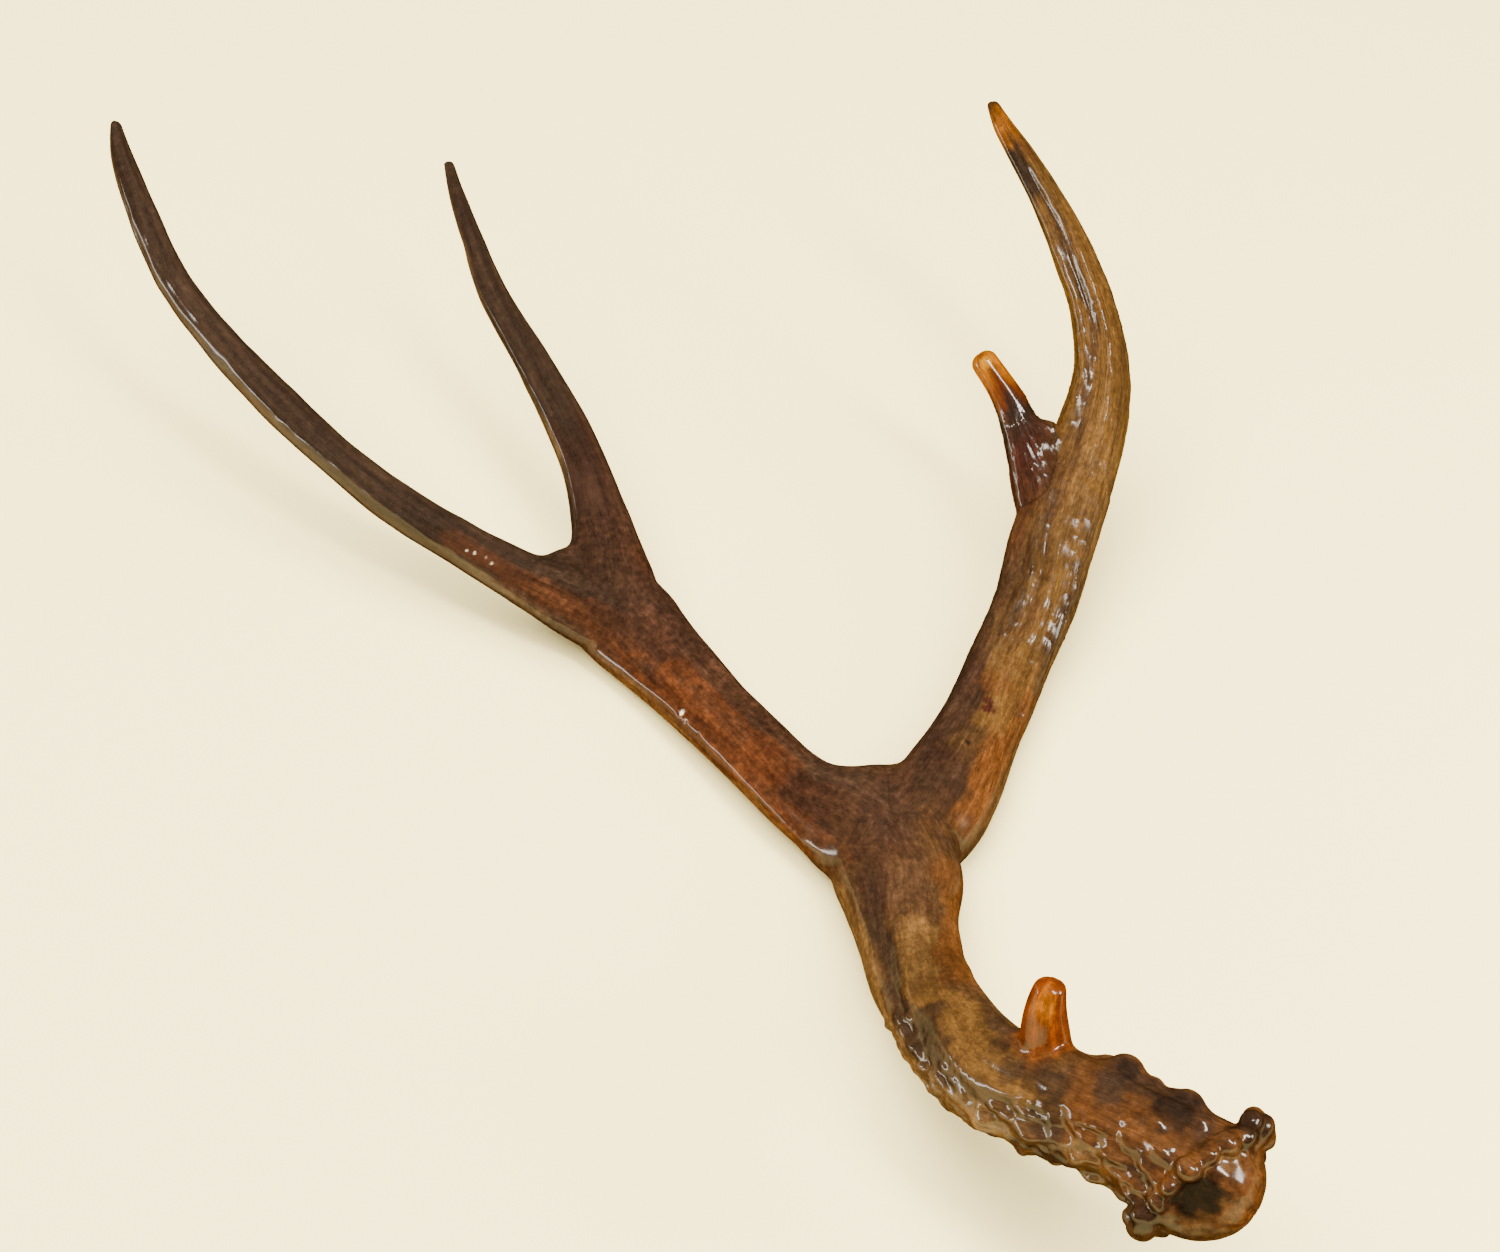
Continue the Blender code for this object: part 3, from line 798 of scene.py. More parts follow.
def store(shape, name, kind, values):
    """Keeps a value for each vertex of a mesh, under a name."""
    field = {"FLOAT": "value", "FLOAT_VECTOR": "vector", "FLOAT_COLOR": "color"}[kind]
    layer = shape.attributes.new(name, kind, "POINT")
    layer.data.foreach_set(field, values.astype(np.float32).ravel())


def edge_pairs(shape):
    pairs = np.empty(len(shape.edges) * 2, dtype=np.int64)
    shape.edges.foreach_get("vertices", pairs)
    return pairs.reshape(-1, 2)


def relaxed(points, pairs, rounds, factor, mask=None):
    """Points moved towards the mean of their neighbours, some rounds over."""
    count = np.bincount(pairs.ravel(), minlength=len(points))[:, None]
    weight = factor if mask is None else factor * mask[:, None]
    for _ in range(rounds):
        total = np.zeros_like(points)
        for axis in range(3):
            total[:, axis] = (
                np.bincount(pairs[:, 0], weights=points[pairs[:, 1], axis], minlength=len(points))
                + np.bincount(pairs[:, 1], weights=points[pairs[:, 0], axis], minlength=len(points))
            )
        points = points + (total / count - points) * weight
    return points


def smooth(share):
    """A share from 0 to 1, eased at both ends."""
    return share * share * (3 - 2 * share)


def sheet_noise(seed, rows, columns, turns):
    """Smooth values from -1 to 1 over rows and so many columns, which wrap."""
    rows = rows - rows.min()
    table = np.random.default_rng(seed).uniform(-1, 1, (int(rows.max()) + 2, turns))
    r0 = np.floor(rows).astype(int)
    c0 = np.floor(columns).astype(int)
    r = smooth(rows - r0)
    c = smooth(columns - c0)
    c1 = (c0 + 1) % turns
    c0 = c0 % turns
    near = table[r0, c0] * (1 - c) + table[r0, c1] * c
    far = table[r0 + 1, c0] * (1 - c) + table[r0 + 1, c1] * c
    return near * (1 - r) + far * r


def cloud_noise(seed, points):
    """Smooth values from -1 to 1 in space, at points measured in cells."""
    size = 32
    table = np.random.default_rng(seed).uniform(-1, 1, (size, size, size))
    cell = np.floor(points).astype(int)
    part = smooth(points - cell)
    total = np.zeros(len(points))
    for i in (0, 1):
        for j in (0, 1):
            for k in (0, 1):
                share = np.ones(len(points))
                for axis, step in enumerate((i, j, k)):
                    share = share * (part[:, axis] if step else 1 - part[:, axis])
                corner = (cell + (i, j, k)) % size
                total += share * table[corner[:, 0], corner[:, 1], corner[:, 2]]
    return total


def branch_places(points, rows, steps=10):
    """For each point: millimetres along the branch, angle round it, and its distance from
    the centre line as a share of the branch's radius there."""
    last = len(rows) - 1
    numbers = [i / steps for i in range(last * steps + 1)]
    frames = [axes_at(rows, n) for n in numbers]
    centre = np.array([f[0] for f in frames])
    along = np.array([f[1] for f in frames])
    left = np.array([f[2] for f in frames])
    face = np.array([f[3] for f in frames])
    radius = np.array([between(rows, n)[3:5] for n in numbers])
    walked = np.concatenate(([0.0], np.cumsum(np.linalg.norm(np.diff(centre, axis=0), axis=1))))
    nearest = np.empty(len(points), dtype=np.int64)
    batch = 20000
    for start in range(0, len(points), batch):
        part = points[start:start + batch]
        away = (part ** 2).sum(1)[:, None] - 2 * part @ centre.T + (centre ** 2).sum(1)[None, :]
        nearest[start:start + batch] = away.argmin(1)
    offset = points - centre[nearest]
    forward = (offset * along[nearest]).sum(1)
    x = (offset * left[nearest]).sum(1) / radius[nearest, 0]
    y = (offset * face[nearest]).sum(1) / radius[nearest, 1]
    off_root = (nearest == 0) & (forward < 0)
    off_tip = (nearest == len(centre) - 1) & (forward > 0)
    beyond = np.where(off_root | off_tip, forward, 0)
    share = np.sqrt(x * x + y * y + (beyond / radius[nearest, 1]) ** 2)
    return walked[nearest] + forward, np.degrees(np.arctan2(y, x)) % 360, share


def zone_mask(value, low, high, soft):
    """1 from low to high and 0 outside, with soft ends."""
    rise = smooth(np.clip((value - low) / soft + 0.5, 0, 1))
    fall = smooth(np.clip((high - value) / soft + 0.5, 0, 1))
    return rise * fall


def angle_mask(angle, low, high, soft):
    """Like zone_mask for degrees round a branch."""
    middle = (low + high) / 2
    return zone_mask(turned_from(angle, middle), low - middle, high - middle, soft)


def nearby(points, place, reach, steepness):
    """1 near a place, down to 0 at its reach."""
    away = np.linalg.norm(points - place, axis=1)
    return np.clip(steepness * (1 - away / reach), 0, 1)


def dimple(points, place, reach):
    """The depth of a round dimple, from 1 in its middle to 0 at its rim."""
    away = np.linalg.norm(points - place, axis=1) / reach
    return np.clip(1 - away * away, 0, 1) ** 2


def patch_mask(points, place, reach, wobble, soft):
    """A round patch with an uneven rim."""
    away = np.linalg.norm(points - place, axis=1) / reach
    return zone_mask(away + wobble, -1, PATCH_RIM, soft)


# The finished meshes, grown by whichever operator runs first.
GROWN = {}


def add_burr(mesh, sizes, plain):
    """The burr: its two clusters, its collar, the seal and the ring of beads."""
    centre, outward, left, face = burr_axes()
    ring = sizes.burr_radius / MM
    for angle, radius, shift in BEAD_CLUSTERS:
        turn = math.radians(angle)
        radial = left * math.cos(turn) + face * math.sin(turn)
        place = centre + radial * (ring - 0.8) + outward * (BURR_LIFT + shift)
        add_lump(mesh, place, (radius * 0.9, radius * 1.1, radius), outward, radial.cross(outward))
    add_lump(mesh, centre, (COLLAR_RISE, ring - 1.5, ring - 2.5), outward, left)
    add_lump(mesh, centre, (SEAL_RISE, SEAL_RADIUS, SEAL_RADIUS * 0.95), outward, left)
    beads = grown_by(burr_tree(), bpy.data.meshes.new("ring"), {
        "Count": sizes.burr_beads, "Ring Radius": ring - BEADS_INSET,
        "Bead Size": sizes.burr_bead / MM, "Seed": BEAD_SEED, "Material": plain,
    })
    beads.transform(set_at(centre + outward * BURR_LIFT, left, face, left.cross(face)))
    mesh.from_mesh(beads)


def grow_skin(sizes):
    """The whole skin in millimetres, as one closed mesh."""
    mesh = bmesh.new()
    for rows, ridges in BRANCHES.values():
        add_branch(mesh, rows, ridges)
    for centre, reach in WEBS:
        add_lump(mesh, Vector(centre), reach, Vector((0, -1, 0)), Vector((1, 0, 0)))
    add_knobs(mesh)
    plain = bpy.data.materials.new("bead_lacquer")
    add_burr(mesh, sizes, plain)
    mesh.from_mesh(grown_by(pearl_tree(), pearled_patch(), {
        "Spacing": PEARL_SPACING, "Density": PEARL_DENSITY, "Bead Size": sizes.pearl / MM,
        "Seed": PEARL_SEED, "Material": plain,
    }))
    rough = bpy.data.meshes.new("rough")
    mesh.to_mesh(rough)
    mesh.free()
    skin = remeshed(rough, sizes.skin_grain / MM)
    bpy.data.meshes.remove(rough)
    return skin


def pearled_patch():
    """The lower beam's own skin, marked where the pearls grow and which way they lie."""
    mesh = bmesh.new()
    add_branch(mesh, LOWER_BEAM, BEAM_RIDGES)
    shape = bpy.data.meshes.new("pearled")
    mesh.to_mesh(shape)
    mesh.free()
    points = read_points(shape)
    along, angle = branch_places(points, LOWER_BEAM)[:2]
    store(shape, "pearled", "FLOAT", pearled_mask(along, angle))
    last = len(LOWER_BEAM) - 1
    frames = [axes_at(LOWER_BEAM, last * i / 40) for i in range(41)]
    centres = np.array([f[0] for f in frames])
    runs = np.array([f[1] for f in frames])
    nearest = ((points[:, None] - centres) ** 2).sum(2).argmin(1)
    store(shape, "run", "FLOAT_VECTOR", runs[nearest])
    return shape


def soften(points, pairs):
    """The skin relaxed a little all over, and more at the burr and the forks."""
    points = relaxed(points, pairs, 3, 0.5)
    points = relaxed(points, pairs, 5, 0.5, nearby(points, LOWER_BEAM[0][:3], 95, 2.2))
    for centre, reach, rounds in SMOOTHED:
        points = relaxed(points, pairs, rounds, 0.6, nearby(points, centre, reach, 2))
    return points


def press_seal(points):
    """The skin with the hollow pressed in its shed face."""
    centre, outward, left, face = burr_axes()
    inward = np.array((face * 0.6 + outward * 0.6 + left * 0.3).normalized())
    pressed = np.array(centre + outward * 9 + face * 9 + left * 7)
    return points - inward * (HOLLOW_DEPTH * dimple(points, pressed, HOLLOW_REACH))[:, None]


def groove_lift(places, weight, groove):
    """Long grooves that wander along each branch."""
    lift = 0.0
    for number, name in enumerate(BRANCHES):
        along, angle = places[name][:2]
        turns = BEAM_GROOVES if name == "lower_beam" else GROOVES
        wander = angle / 360 * turns + 1.4 * sheet_noise(60 + number, along / 30, angle / 60, 6)
        lines = sheet_noise(20 + number, along / 34, wander, turns)
        depth = 0.3 * groove
        if name == "lower_beam":
            smooth_band = zone_mask(along, 50, 98, 14) * angle_mask(angle, 88, 135, 14)
            depth = groove * (0.55 + 0.45 * zone_mask(along, 30, 150, 50)) * (1 - 0.85 * smooth_band)
        lift = lift + weight[name] * lines * depth
    return lift


def relief_lift(places, weight):
    """The narrow crests and hollows."""
    lift = 0.0
    crests = [(name, *crest) for name, rows in RELIEF.items() for crest in rows]
    for number, (name, start, stop, middle, half_width, height, broken) in enumerate(crests):
        along, angle = places[name][:2]
        sway = 5 * sheet_noise(130 + number, along / 22, 0 * along, 1)
        off = turned_from(angle - middle, sway)
        come_and_go = 1 - broken * (0.5 + 0.5 * sheet_noise(170 + number, along / 5, 0 * along, 1))
        crest = np.exp(-(off / half_width) ** 2) * zone_mask(along, start, stop, 24)
        lift = lift + weight[name] * height * come_and_go * crest
    return lift


def wrinkle_lift(places, weight, crinkle):
    """Fine creases in the web of the right fork and up its two tines."""
    where = 0.0
    creases = 0.0
    for name, (seed, length, start, stop, soft, strength) in WRINKLES.items():
        where = where + strength * weight[name] * zone_mask(places[name][0], start, stop, soft)
        creases = creases + wrinkles(seed, places[name], length) * weight[name]
    return crinkle * where * creases


def pearled_lift(places, weight):
    """Lumps and pits between the pearls of the lower beam."""
    along, angle = places["lower_beam"][:2]
    lumps = sheet_noise(9, along / 4.2, angle / 360 * 44, 44)
    pits = np.clip(sheet_noise(10, along / 3.4, angle / 360 * 40, 40) - 0.3, 0, 1)
    return weight["lower_beam"] * pearled_mask(along, angle) * (0.55 * lumps - 1.3 * pits)


def shape_skin(skin, sizes):
    """Softens the forks, presses the seal's hollow and raises grooves, grain and crinkle."""
    points = press_seal(soften(read_points(skin), edge_pairs(skin)))
    write_points(skin, points)
    normals = read_points(skin, "normal")
    places = {name: branch_places(points, BRANCHES[name][0]) for name in BRANCHES}
    weight = belonging(places, SHAPE_SHARPNESS)
    lift = groove_lift(places, weight, sizes.groove / MM) + relief_lift(places, weight)
    lift += UNEVEN * cloud_noise(1, points / UNEVEN_SIZE)
    lift += wrinkle_lift(places, weight, sizes.crinkle / MM) + pearled_lift(places, weight)
    for place, reach, depth in DENTS:
        lift -= depth * dimple(points, place, reach)
    points = kept_inside(points + normals * lift[:, None])
    write_points(skin, points)
    return points, places


def kept_inside(points):
    """Eases what comes near the sides of the solids' box back, so that no tip passes them."""
    low, high = (np.array(corner) / MM for corner in CAD_BOX)
    above = np.maximum(points - (high - EASED), 0) / EASED
    below = np.maximum(low + EASED - points, 0) / EASED
    below[:, 2] = 0
    points = points - EASED * (above - FILLED * np.tanh(above))
    points = points + EASED * (below - FILLED * np.tanh(below))
    points[:, 2] = np.maximum(points[:, 2], 0.0)
    return points


def belonging(places, sharpness):
    """How far each point belongs to each branch; the parts sum to one."""
    shares = np.stack([places[name][2] for name in BRANCHES])
    weights = np.exp(-sharpness * (shares - shares.min(0)))
    return dict(zip(BRANCHES, weights / weights.sum(0)))


def wrinkles(seed, place, length):
    """Fine creases that run along a branch and break up."""
    along, angle = place[:2]
    slant = angle / 360 * 44 + along / 14
    creases = sheet_noise(seed, along / (8 * length), slant, 44)
    return 1 - 2 * np.sqrt(np.abs(creases))


def pearled_mask(along, angle):
    """Where the lower beam is pearled and pitted."""
    side = zone_mask(along, 4, 108, 24) * angle_mask(angle, -80, 66, 26)
    near_burr = zone_mask(along, 2, 52, 14) * angle_mask(angle, 50, 108, 24)
    return np.maximum(side, 0.8 * near_burr)


def branch_stain(number, name, place, palette, cloud, speck):
    """One branch's stain at every point: its base, its zones, some of them painted sheen, blotches and
    streaks.
    """
    along, angle = place[:2]
    own = np.tile(palette[BASE_STAIN[name]], (len(along), 1))
    drift_along = 6 * sheet_noise(80 + number, along / 12, angle / 45, 8)
    drift_along += 3 * sheet_noise(100 + number, along / 4, angle / 15, 24)
    drift_angle = 10 * sheet_noise(90 + number, along / 20, angle / 30, 12)
    drift_angle += 6 * sheet_noise(110 + number, along / 6, angle / 10, 36)
    for start, stop, low, high, colour, strength in ZONES[name]:
        mask = strength * zone_mask(along + drift_along, start, stop, 12)
        if high - low < 360:
            mask = mask * angle_mask(angle + drift_angle, low, high, 12)
        own += (palette[colour] - own) * mask[:, None]
    dark, fine = BLOTCHED[name]
    blotch = sheet_noise(120 + number, (along + drift_angle) / 17, (angle + 2 * drift_along) / 32, 11)
    blotch = np.clip(1.6 * (blotch + cloud) - 0.2, 0, 1)
    own += (palette["chocolate"] - own) * (dark * blotch)[:, None]
    streak = sheet_noise(40 + number, along / 26, angle / 360 * 22, 22)
    thin = sheet_noise(50 + number, along / 11, angle / 360 * 60, 60)
    return own * np.exp(0.35 * streak + 0.22 * thin + 0.3 * fine * speck)[:, None]


def grain_run(points, places):
    """Coordinates that run with the grain, each branch's apart from the others'."""
    best = np.argmin([places[name][2] for name in BRANCHES], axis=0)
    grain = np.zeros((len(points), 3))
    for number, name in enumerate(BRANCHES):
        along, angle = places[name][:2]
        here = best == number
        turn = np.radians(angle[here])
        root = GROWS_ON.get(name, name)
        foot = np.array([BRANCHES[name][0][0][:3]], dtype=float)
        start = branch_places(foot, BRANCHES[root][0])[0][0]
        apart = GRAIN_APART * list(BRANCHES).index(root)
        run = (along[here] + start) * GRAIN_STEP
        across = np.cos(turn) * GRAIN_ROUND
        grain[here] = np.stack((run, across, np.sin(turn) * GRAIN_ROUND + apart), 1)
    centre, outward = burr_axes()[:2]
    shed = (points - np.array(centre)) @ np.array(outward) > SHED_FACE
    grain[shed] = points[shed] * SHED_STEP
    return grain


def stain_skin(skin, points, places, colours):
    """Stores the stain, with its painted shade and sheen, the run of the grain and the gloss on the skin.
    """
    palette = {name: np.array(getattr(colours, name)) for name in AntlerColours.__annotations__}
    weight = belonging(places, STAIN_SHARPNESS)
    cloud = 0.5 * cloud_noise(12, points / 3)
    speck = cloud_noise(13, points / 1.9) + 0.7 * cloud_noise(14, points / 1.1)
    stain = np.zeros((len(points), 3))
    for number, name in enumerate(BRANCHES):
        own = branch_stain(number, name, places[name], palette, cloud, speck)
        stain += weight[name][:, None] * own
    wobble = 0.3 * cloud_noise(15, points / 2.5)
    for place, reach, colour, strength in PATCHES:
        mask = strength * patch_mask(points, place, reach, wobble, 0.5)
        stain += (palette[colour] - stain) * mask[:, None]
    full = np.ones((len(points), 4))
    full[:, :3] = np.clip(stain, 0, 1)
    store(skin, "stain", "FLOAT_COLOR", full)
    store(skin, "grain", "FLOAT_VECTOR", grain_run(points, places))
    gloss = np.ones(len(points))
    for place, reach, share in GLOSS_PATCHES:
        gloss += (share - gloss) * patch_mask(points, place, reach, wobble, 0.4)
    store(skin, "gloss", "FLOAT", gloss)


def saw(mesh, middle, direction, reach):
    """Parts the mesh across a branch, near a place, and closes both ends."""
    near = []
    for face in mesh.faces:
        offset = face.verts[0].co - middle
        if offset.length < reach and abs(offset.dot(direction)) < CUT_BAND:
            near.append(face)
    parts = list({e for f in near for e in f.edges}) + list({v for f in near for v in f.verts}) + near
    done = bmesh.ops.bisect_plane(mesh, geom=parts, plane_co=middle, plane_no=direction, dist=1e-5)
    seam = [g for g in done["geom_cut"] if isinstance(g, bmesh.types.BMEdge)]
    bmesh.ops.split_edges(mesh, edges=seam)
    rim = [e for e in mesh.edges if e.is_boundary]
    bmesh.ops.holes_fill(mesh, edges=rim, sides=0)


def connected_parts(mesh):
    """The vertices of each part of the mesh that hangs together."""
    mesh.verts.index_update()
    seen = np.zeros(len(mesh.verts), dtype=bool)
    parts = []
    for vertex in mesh.verts:
        if seen[vertex.index]:
            continue
        seen[vertex.index] = True
        members = [vertex]
        for here in members:
            for edge in here.link_edges:
                other = edge.other_vert(here)
                if not seen[other.index]:
                    seen[other.index] = True
                    members.append(other)
        parts.append(members)
    return parts


def cut_skin(skin):
    """Parts the skin at the forks and returns one closed mesh for each piece."""
    mesh = bmesh.new()
    mesh.from_mesh(skin)
    mesh.normal_update()
    kept = mesh.verts.layers.float_vector.new("shade")
    for vertex in mesh.verts:
        vertex[kept] = vertex.normal
    for place, across, reach in CUTS.values():
        saw(mesh, Vector(place), Vector(across).normalized(), reach)
    parts = connected_parts(mesh)
    result = {}
    for name, place in INSIDE.items():
        middle = Vector(place)
        members = min(parts, key=lambda part: min((v.co - middle).length for v in part[::40]))
        result[name] = mesh_of(mesh, members, name)
    mesh.free()
    return result


def mesh_of(mesh, members, name):
    """A plain mesh in metres from some of the vertices, shaded as the whole skin was."""
    inside = {v.index for v in members}
    single = mesh.copy()
    bmesh.ops.delete(single, geom=[v for v in single.verts if v.index not in inside], context="VERTS")
    bmesh.ops.scale(single, vec=(MM, MM, MM), verts=single.verts)
    capped = single.faces.layers.int.new("capped")
    caps = [f for f in single.faces if len(f.verts) > 4]
    for cap in caps:
        cap[capped] = 1
    bmesh.ops.triangulate(single, faces=caps)
    shape = bpy.data.meshes.new(name + "_skin")
    single.to_mesh(shape)
    single.free()
    shape.shade_smooth()
    shade_as_one(shape)
    return shape


def shade_as_one(shape):
    """Gives the skin the shading that it had before it was parted, and the caps their own."""
    corners = np.empty(len(shape.loops), dtype=np.int64)
    shape.loops.foreach_get("vertex_index", corners)
    owners = np.repeat(np.arange(len(shape.polygons)), [len(p.vertices) for p in shape.polygons])
    kept = np.empty(len(shape.vertices) * 3, dtype=np.float32)
    shape.attributes["shade"].data.foreach_get("vector", kept)
    capped = np.empty(len(shape.polygons), dtype=np.int32)
    shape.attributes["capped"].data.foreach_get("value", capped)
    flat = np.empty(len(shape.polygons) * 3, dtype=np.float32)
    shape.polygons.foreach_get("normal", flat)
    normals = kept.reshape(-1, 3)[corners]
    on_cap = capped[owners] == 1
    normals[on_cap] = flat.reshape(-1, 3)[owners[on_cap]]
    normals /= np.linalg.norm(normals, axis=1)[:, None]
    shape.normals_split_custom_set(normals.tolist())
    for name in ("shade", "capped"):
        shape.attributes.remove(shape.attributes[name])


def noise_node(tree, vector, scale, detail, roughness=0.55):
    """A noise's value, read at a vector."""
    node = tree.nodes.new("ShaderNodeTexNoise")
    node.inputs["Scale"].default_value = scale
    node.inputs["Detail"].default_value = detail
    node.inputs["Roughness"].default_value = roughness
    tree.links.new(vector, node.inputs["Vector"])
    return node.outputs["Fac"]


def spread(tree, value, low, high, to_low, to_high):
    """The value's range low to high, carried to another range."""
    node = tree.nodes.new("ShaderNodeMapRange")
    for label, number in (("From Min", low), ("From Max", high), ("To Min", to_low), ("To Max", to_high)):
        node.inputs[label].default_value = number
    tree.links.new(value, node.inputs["Value"])
    return node.outputs["Result"]


def maths(tree, operation, first, second):
    """The result of a sum on two numbers or sockets."""
    node = tree.nodes.new("ShaderNodeMath")
    node.operation = operation
    for socket, value in zip(node.inputs, (first, second)):
        if isinstance(value, (int, float)):
            socket.default_value = value
        else:
            tree.links.new(value, socket)
    return node.outputs["Value"]


def mixed(tree, factor, first, second):
    """Two colours mixed by a factor."""
    node = tree.nodes.new("ShaderNodeMix")
    node.data_type = "RGBA"
    for label, value in (("Factor_Float", factor), ("A_Color", first), ("B_Color", second)):
        tree.links.new(value, next(s for s in node.inputs if s.identifier == label))
    return next(s for s in node.outputs if s.identifier == "Result_Color")


def lacquer_group():
    """Stain broken up by streaks, mottling and specks, with the height of the skin's grain."""
    group, source, end = new_tree(
        "Stained Horn", "ShaderNodeTree",
        (("Stain", "Color"), ("Grain", "Vector"), ("Place", "Vector"), ("Speck Colour", "Color"),
         ("Streaks", "Float"), ("Mottle", "Float"), ("Specks", "Float"), ("Creases", "Float")),
        (("Colour", "Color"), ("Roughness", "Float"), ("Height", "Float")),
    )
    links = group.links
    grain = source.outputs["Grain"]
    place = source.outputs["Place"]
    streak = spread(group, noise_node(group, grain, 1.1, 5), 0.3, 0.7, -0.5, 0.5)
    fine = spread(group, noise_node(group, grain, 4.5, 4), 0.3, 0.7, -0.5, 0.5)
    mottle = spread(group, noise_node(group, place, 420, 6, 0.65), 0.3, 0.7, -0.5, 0.5)
    tone = maths(group, "MULTIPLY", maths(group, "ADD", streak, fine), source.outputs["Streaks"])
    tone = maths(group, "ADD", tone, maths(group, "MULTIPLY", mottle, source.outputs["Mottle"]))
    tone = maths(group, "POWER", 2.0, tone)
    scaled = group.nodes.new("ShaderNodeVectorMath")
    scaled.operation = "SCALE"
    links.new(source.outputs["Stain"], scaled.inputs[0])
    links.new(tone, scaled.inputs["Scale"])
    dots = spread(group, noise_node(group, place, 1500, 2), 0.60, 0.68, 0.0, 1.0)
    dots = maths(group, "MULTIPLY", dots, source.outputs["Specks"])
    speckled = mixed(group, dots, scaled.outputs["Vector"], source.outputs["Speck Colour"])
    links.new(speckled, end.inputs["Colour"])
    rough = spread(group, noise_node(group, place, 260, 4), 0.3, 0.7, 0.26, 0.46)
    links.new(rough, end.inputs["Roughness"])
    crease = noise_node(group, grain, 0.62, 3, 0.5)
    crease = maths(group, "ABSOLUTE", maths(group, "SUBTRACT", crease, 0.5), 0)
    crease = spread(group, crease, 0.0, 0.12, 0.0, 1.0)
    crease = maths(group, "MULTIPLY", crease, source.outputs["Creases"])
    height = maths(group, "ADD", maths(group, "MULTIPLY", fine, 0.5), noise_node(group, place, 700, 3))
    links.new(maths(group, "ADD", height, crease), end.inputs["Height"])
    return group


def attribute(tree, name, output):
    """An output of an attribute that the skin stores."""
    node = tree.nodes.new("ShaderNodeAttribute")
    node.attribute_name = name
    return node.outputs[output]


def lacquer_material(name, group, speck_colour, finish):
    """The lacquered horn of one piece, by its row of finishes."""
    streaks, mottle, specks, creases, bump, coat, coat_roughness = finish
    material = bpy.data.materials.new(name)
    material.use_nodes = True
    tree = material.node_tree
    shader = tree.nodes["Principled BSDF"]
    effect = tree.nodes.new("ShaderNodeGroup")
    effect.node_tree = group
    place = tree.nodes.new("ShaderNodeTexCoord")
    relief = tree.nodes.new("ShaderNodeBump")
    turned = tree.nodes.new("ShaderNodeLayerWeight")
    worn = spread(tree, turned.outputs["Facing"], *LACQUER_FADE, coat, 0.0)
    shine = maths(tree, "MULTIPLY", worn, attribute(tree, "gloss", "Fac"))
    for node, label, number in (
        (effect, "Streaks", streaks),
        (effect, "Mottle", mottle),
        (effect, "Specks", specks),
        (effect, "Creases", creases),
        (effect, "Speck Colour", (*speck_colour, 1.0)),
        (relief, "Strength", bump),
        (relief, "Distance", BUMP_DEPTH),
        (turned, "Blend", 0.5),
        (shader, "Specular IOR Level", 0.0),
        (shader, "Coat Roughness", coat_roughness),
        (shader, "Coat IOR", LACQUER_IOR),
    ):
        node.inputs[label].default_value = number
    for output, socket in (
        (attribute(tree, "stain", "Color"), effect.inputs["Stain"]),
        (attribute(tree, "grain", "Vector"), effect.inputs["Grain"]),
        (place.outputs["Object"], effect.inputs["Place"]),
        (effect.outputs["Height"], relief.inputs["Height"]),
        (effect.outputs["Colour"], shader.inputs["Base Color"]),
        (effect.outputs["Roughness"], shader.inputs["Roughness"]),
        (relief.outputs["Normal"], shader.inputs["Normal"]),
        (shine, shader.inputs["Coat Weight"]),
    ):
        tree.links.new(output, socket)
    return material


def dress(names):
    """Makes the named pieces from the skin, each in place of its solid."""
    scene = bpy.context.scene
    if not GROWN:
        skin = grow_skin(scene.antler_sizes)
        points, places = shape_skin(skin, scene.antler_sizes)
        stain_skin(skin, points, places, scene.antler_colours)
        GROWN.update(cut_skin(skin))
        bpy.data.meshes.remove(skin)
    group = bpy.data.node_groups.get("Stained Horn") or lacquer_group()
    dark = tuple(scene.antler_colours.chocolate)
    for name in names:
        piece = in_scene(name + "_skin", GROWN[name])
        piece.data.materials.clear()
        piece.data.materials.append(lacquer_material(name + "_lacquer", group, dark, FINISHES[name]))
        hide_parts(name)
        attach(piece, "root")


class ANTLER_OT_lower_beam(Operator):
    """Grow the lower beam with its burr, seal, knobs and brow tine"""
    bl_idname = "antler.lower_beam"
    bl_label = "Lower beam"

    def execute(self, context):
        dress(("lower_beam",))
        return {"FINISHED"}


class ANTLER_OT_branches(Operator):
    """Grow the two branches above the main fork"""
    bl_idname = "antler.branches"
    bl_label = "Branches"

    def execute(self, context):
        dress(("left_branch", "right_branch"))
        return {"FINISHED"}


class ANTLER_OT_tines(Operator):
    """Grow the four tines"""
    bl_idname = "antler.tines"
    bl_label = "Tines"

    def execute(self, context):
        dress(("left_tine", "middle_tine", "right_tine", "short_tine"))
        return {"FINISHED"}


def area_light(name, place, target, size, power, mirrored):
    """A warm panel of light that looks at its target."""
    lamp = bpy.data.lights.new(name, "AREA")
    lamp.shape = "RECTANGLE"
    lamp.size, lamp.size_y = size
    lamp.energy = power
    lamp.color = WARM
    holder = in_scene(name, lamp)
    holder.location = place
    holder.rotation_euler = (Vector(target) - Vector(place)).to_track_quat("-Z", "Y").to_euler()
    holder.visible_glossy = mirrored


def lay_floor(colour):
    """The pale paper that the antler lies on."""
    mesh = bmesh.new()
    bmesh.ops.create_grid(mesh, x_segments=1, y_segments=1, size=FLOOR_REACH)
    shape = bpy.data.meshes.new("floor")
    mesh.to_mesh(shape)
    mesh.free()
    floor = in_scene("floor", shape)
    material = bpy.data.materials.new("pale_paper")
    material.use_nodes = True
    shader = material.node_tree.nodes["Principled BSDF"]
    shader.inputs["Base Color"].default_value = (*colour, 1.0)
    shader.inputs["Roughness"].default_value = 0.85
    shape.materials.append(material)


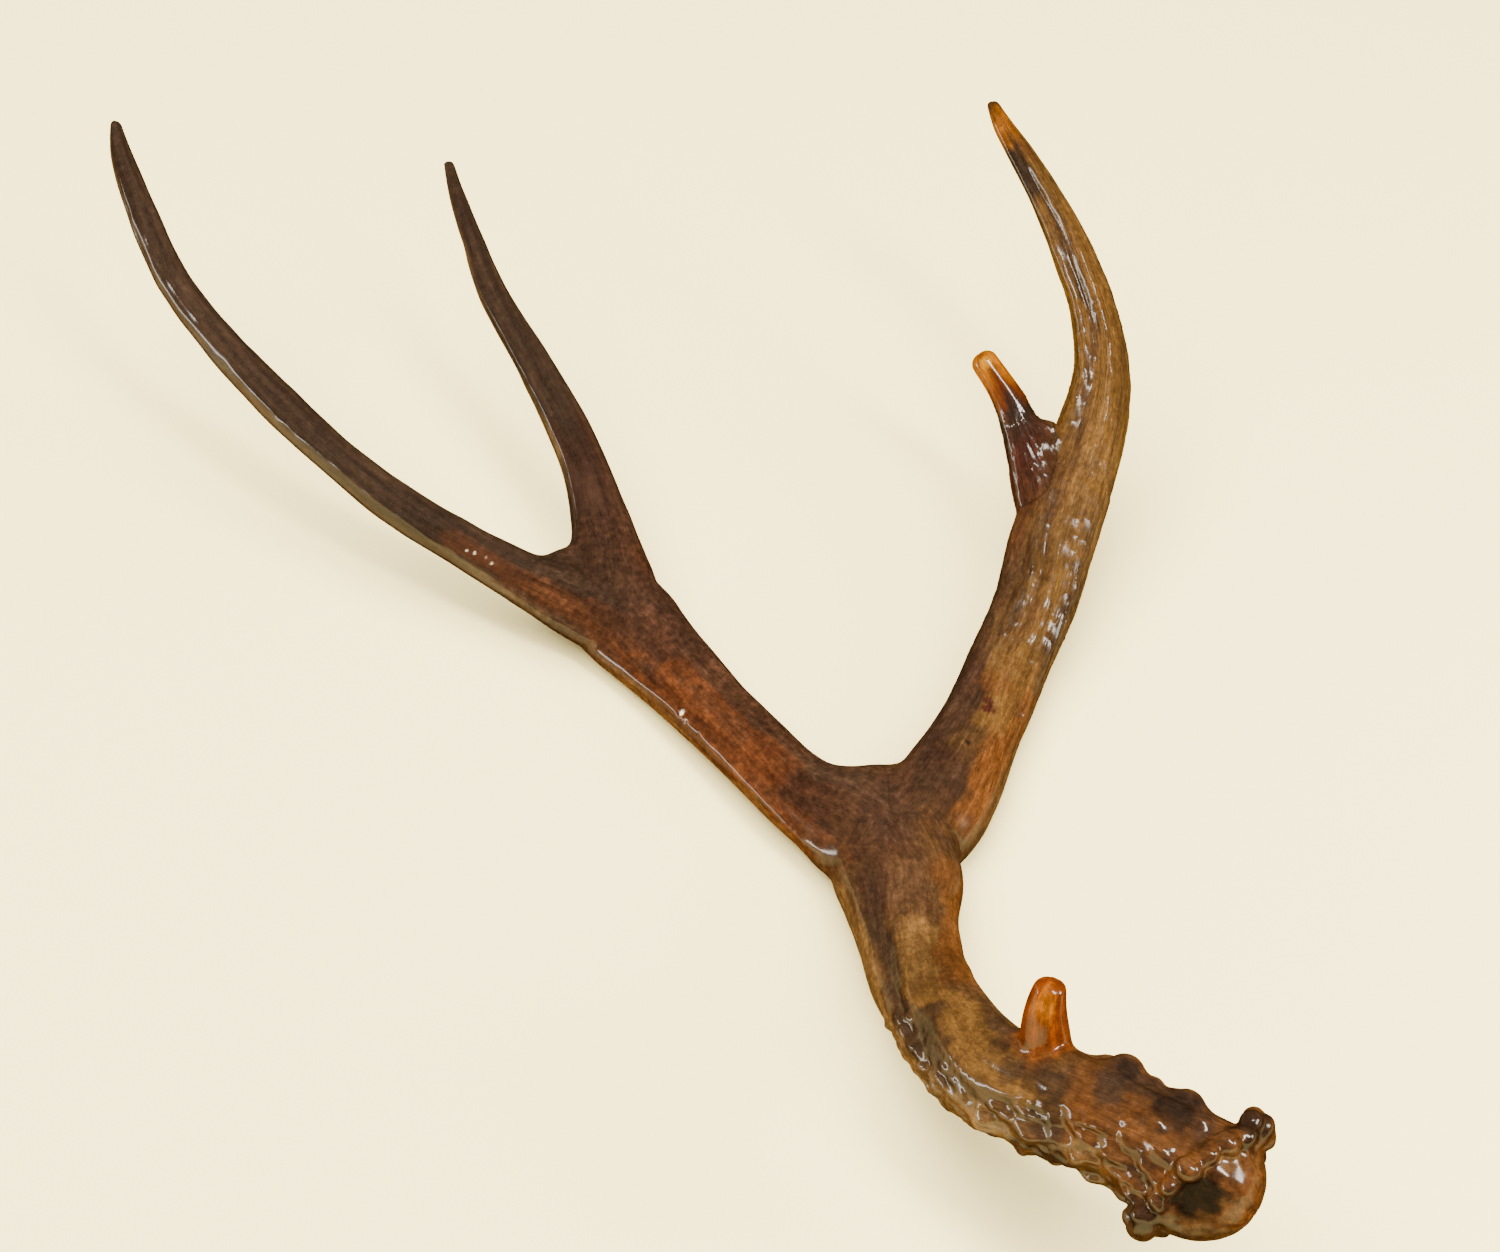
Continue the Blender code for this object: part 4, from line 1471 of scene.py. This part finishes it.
def light_room(strength):
    """The even light of the room."""
    world = bpy.data.worlds.new("room")
    world.use_nodes = True
    sky = world.node_tree.nodes["Background"]
    sky.inputs["Color"].default_value = (*WARM, 1.0)
    sky.inputs["Strength"].default_value = strength
    bpy.context.scene.world = world


def set_camera(settings):
    """The camera, in front of the antler and looking down on it."""
    eye = bpy.data.cameras.new("camera")
    eye.lens = settings.lens
    eye.sensor_width = SENSOR_WIDTH
    eye.clip_start = 0.01
    camera = in_scene("camera", eye)
    camera.location = CAMERA_PLACE
    camera.rotation_euler = (math.radians(90) - settings.tilt, 0.0, 0.0)
    bpy.context.scene.camera = camera


class ANTLER_OT_stage(Operator):
    """Lay the pale floor and set the lights and the camera"""
    bl_idname = "antler.stage"
    bl_label = "Stage"

    def execute(self, context):
        settings = context.scene.antler_stage
        lay_floor(settings.floor)
        for name, (place, target, size, mirrored) in LIGHTS.items():
            area_light(name, place, target, size, getattr(settings, name), mirrored)
        light_room(settings.room)
        set_camera(settings)
        return {"FINISHED"}


STEPS = (ANTLER_OT_stage, ANTLER_OT_lower_beam, ANTLER_OT_branches, ANTLER_OT_tines)


class ANTLER_PT_panel(Panel):
    bl_label = "Painted Deer Antler"
    bl_idname = "ANTLER_PT_panel"
    bl_space_type = "VIEW_3D"
    bl_region_type = "UI"
    bl_category = "Antler"

    def draw(self, context):
        scene = context.scene
        for settings in (scene.antler_sizes, scene.antler_colours, scene.antler_stage):
            box = self.layout.box()
            for name in settings.__annotations__:
                box.prop(settings, name)
        for step in STEPS:
            self.layout.operator(step.bl_idname)


CLASSES = (AntlerSizes, AntlerColours, StageSettings, *STEPS, ANTLER_PT_panel)


def register():
    for item in CLASSES:
        bpy.utils.register_class(item)
    bpy.types.Scene.antler_sizes = PointerProperty(type=AntlerSizes)
    bpy.types.Scene.antler_colours = PointerProperty(type=AntlerColours)
    bpy.types.Scene.antler_stage = PointerProperty(type=StageSettings)


def unregister():
    del bpy.types.Scene.antler_stage
    del bpy.types.Scene.antler_colours
    del bpy.types.Scene.antler_sizes
    for item in reversed(CLASSES):
        bpy.utils.unregister_class(item)


def main():
    register()
    bpy.ops.antler.stage()
    bpy.ops.antler.lower_beam()
    bpy.ops.antler.branches()
    bpy.ops.antler.tines()


if __name__ == "__main__":
    main()
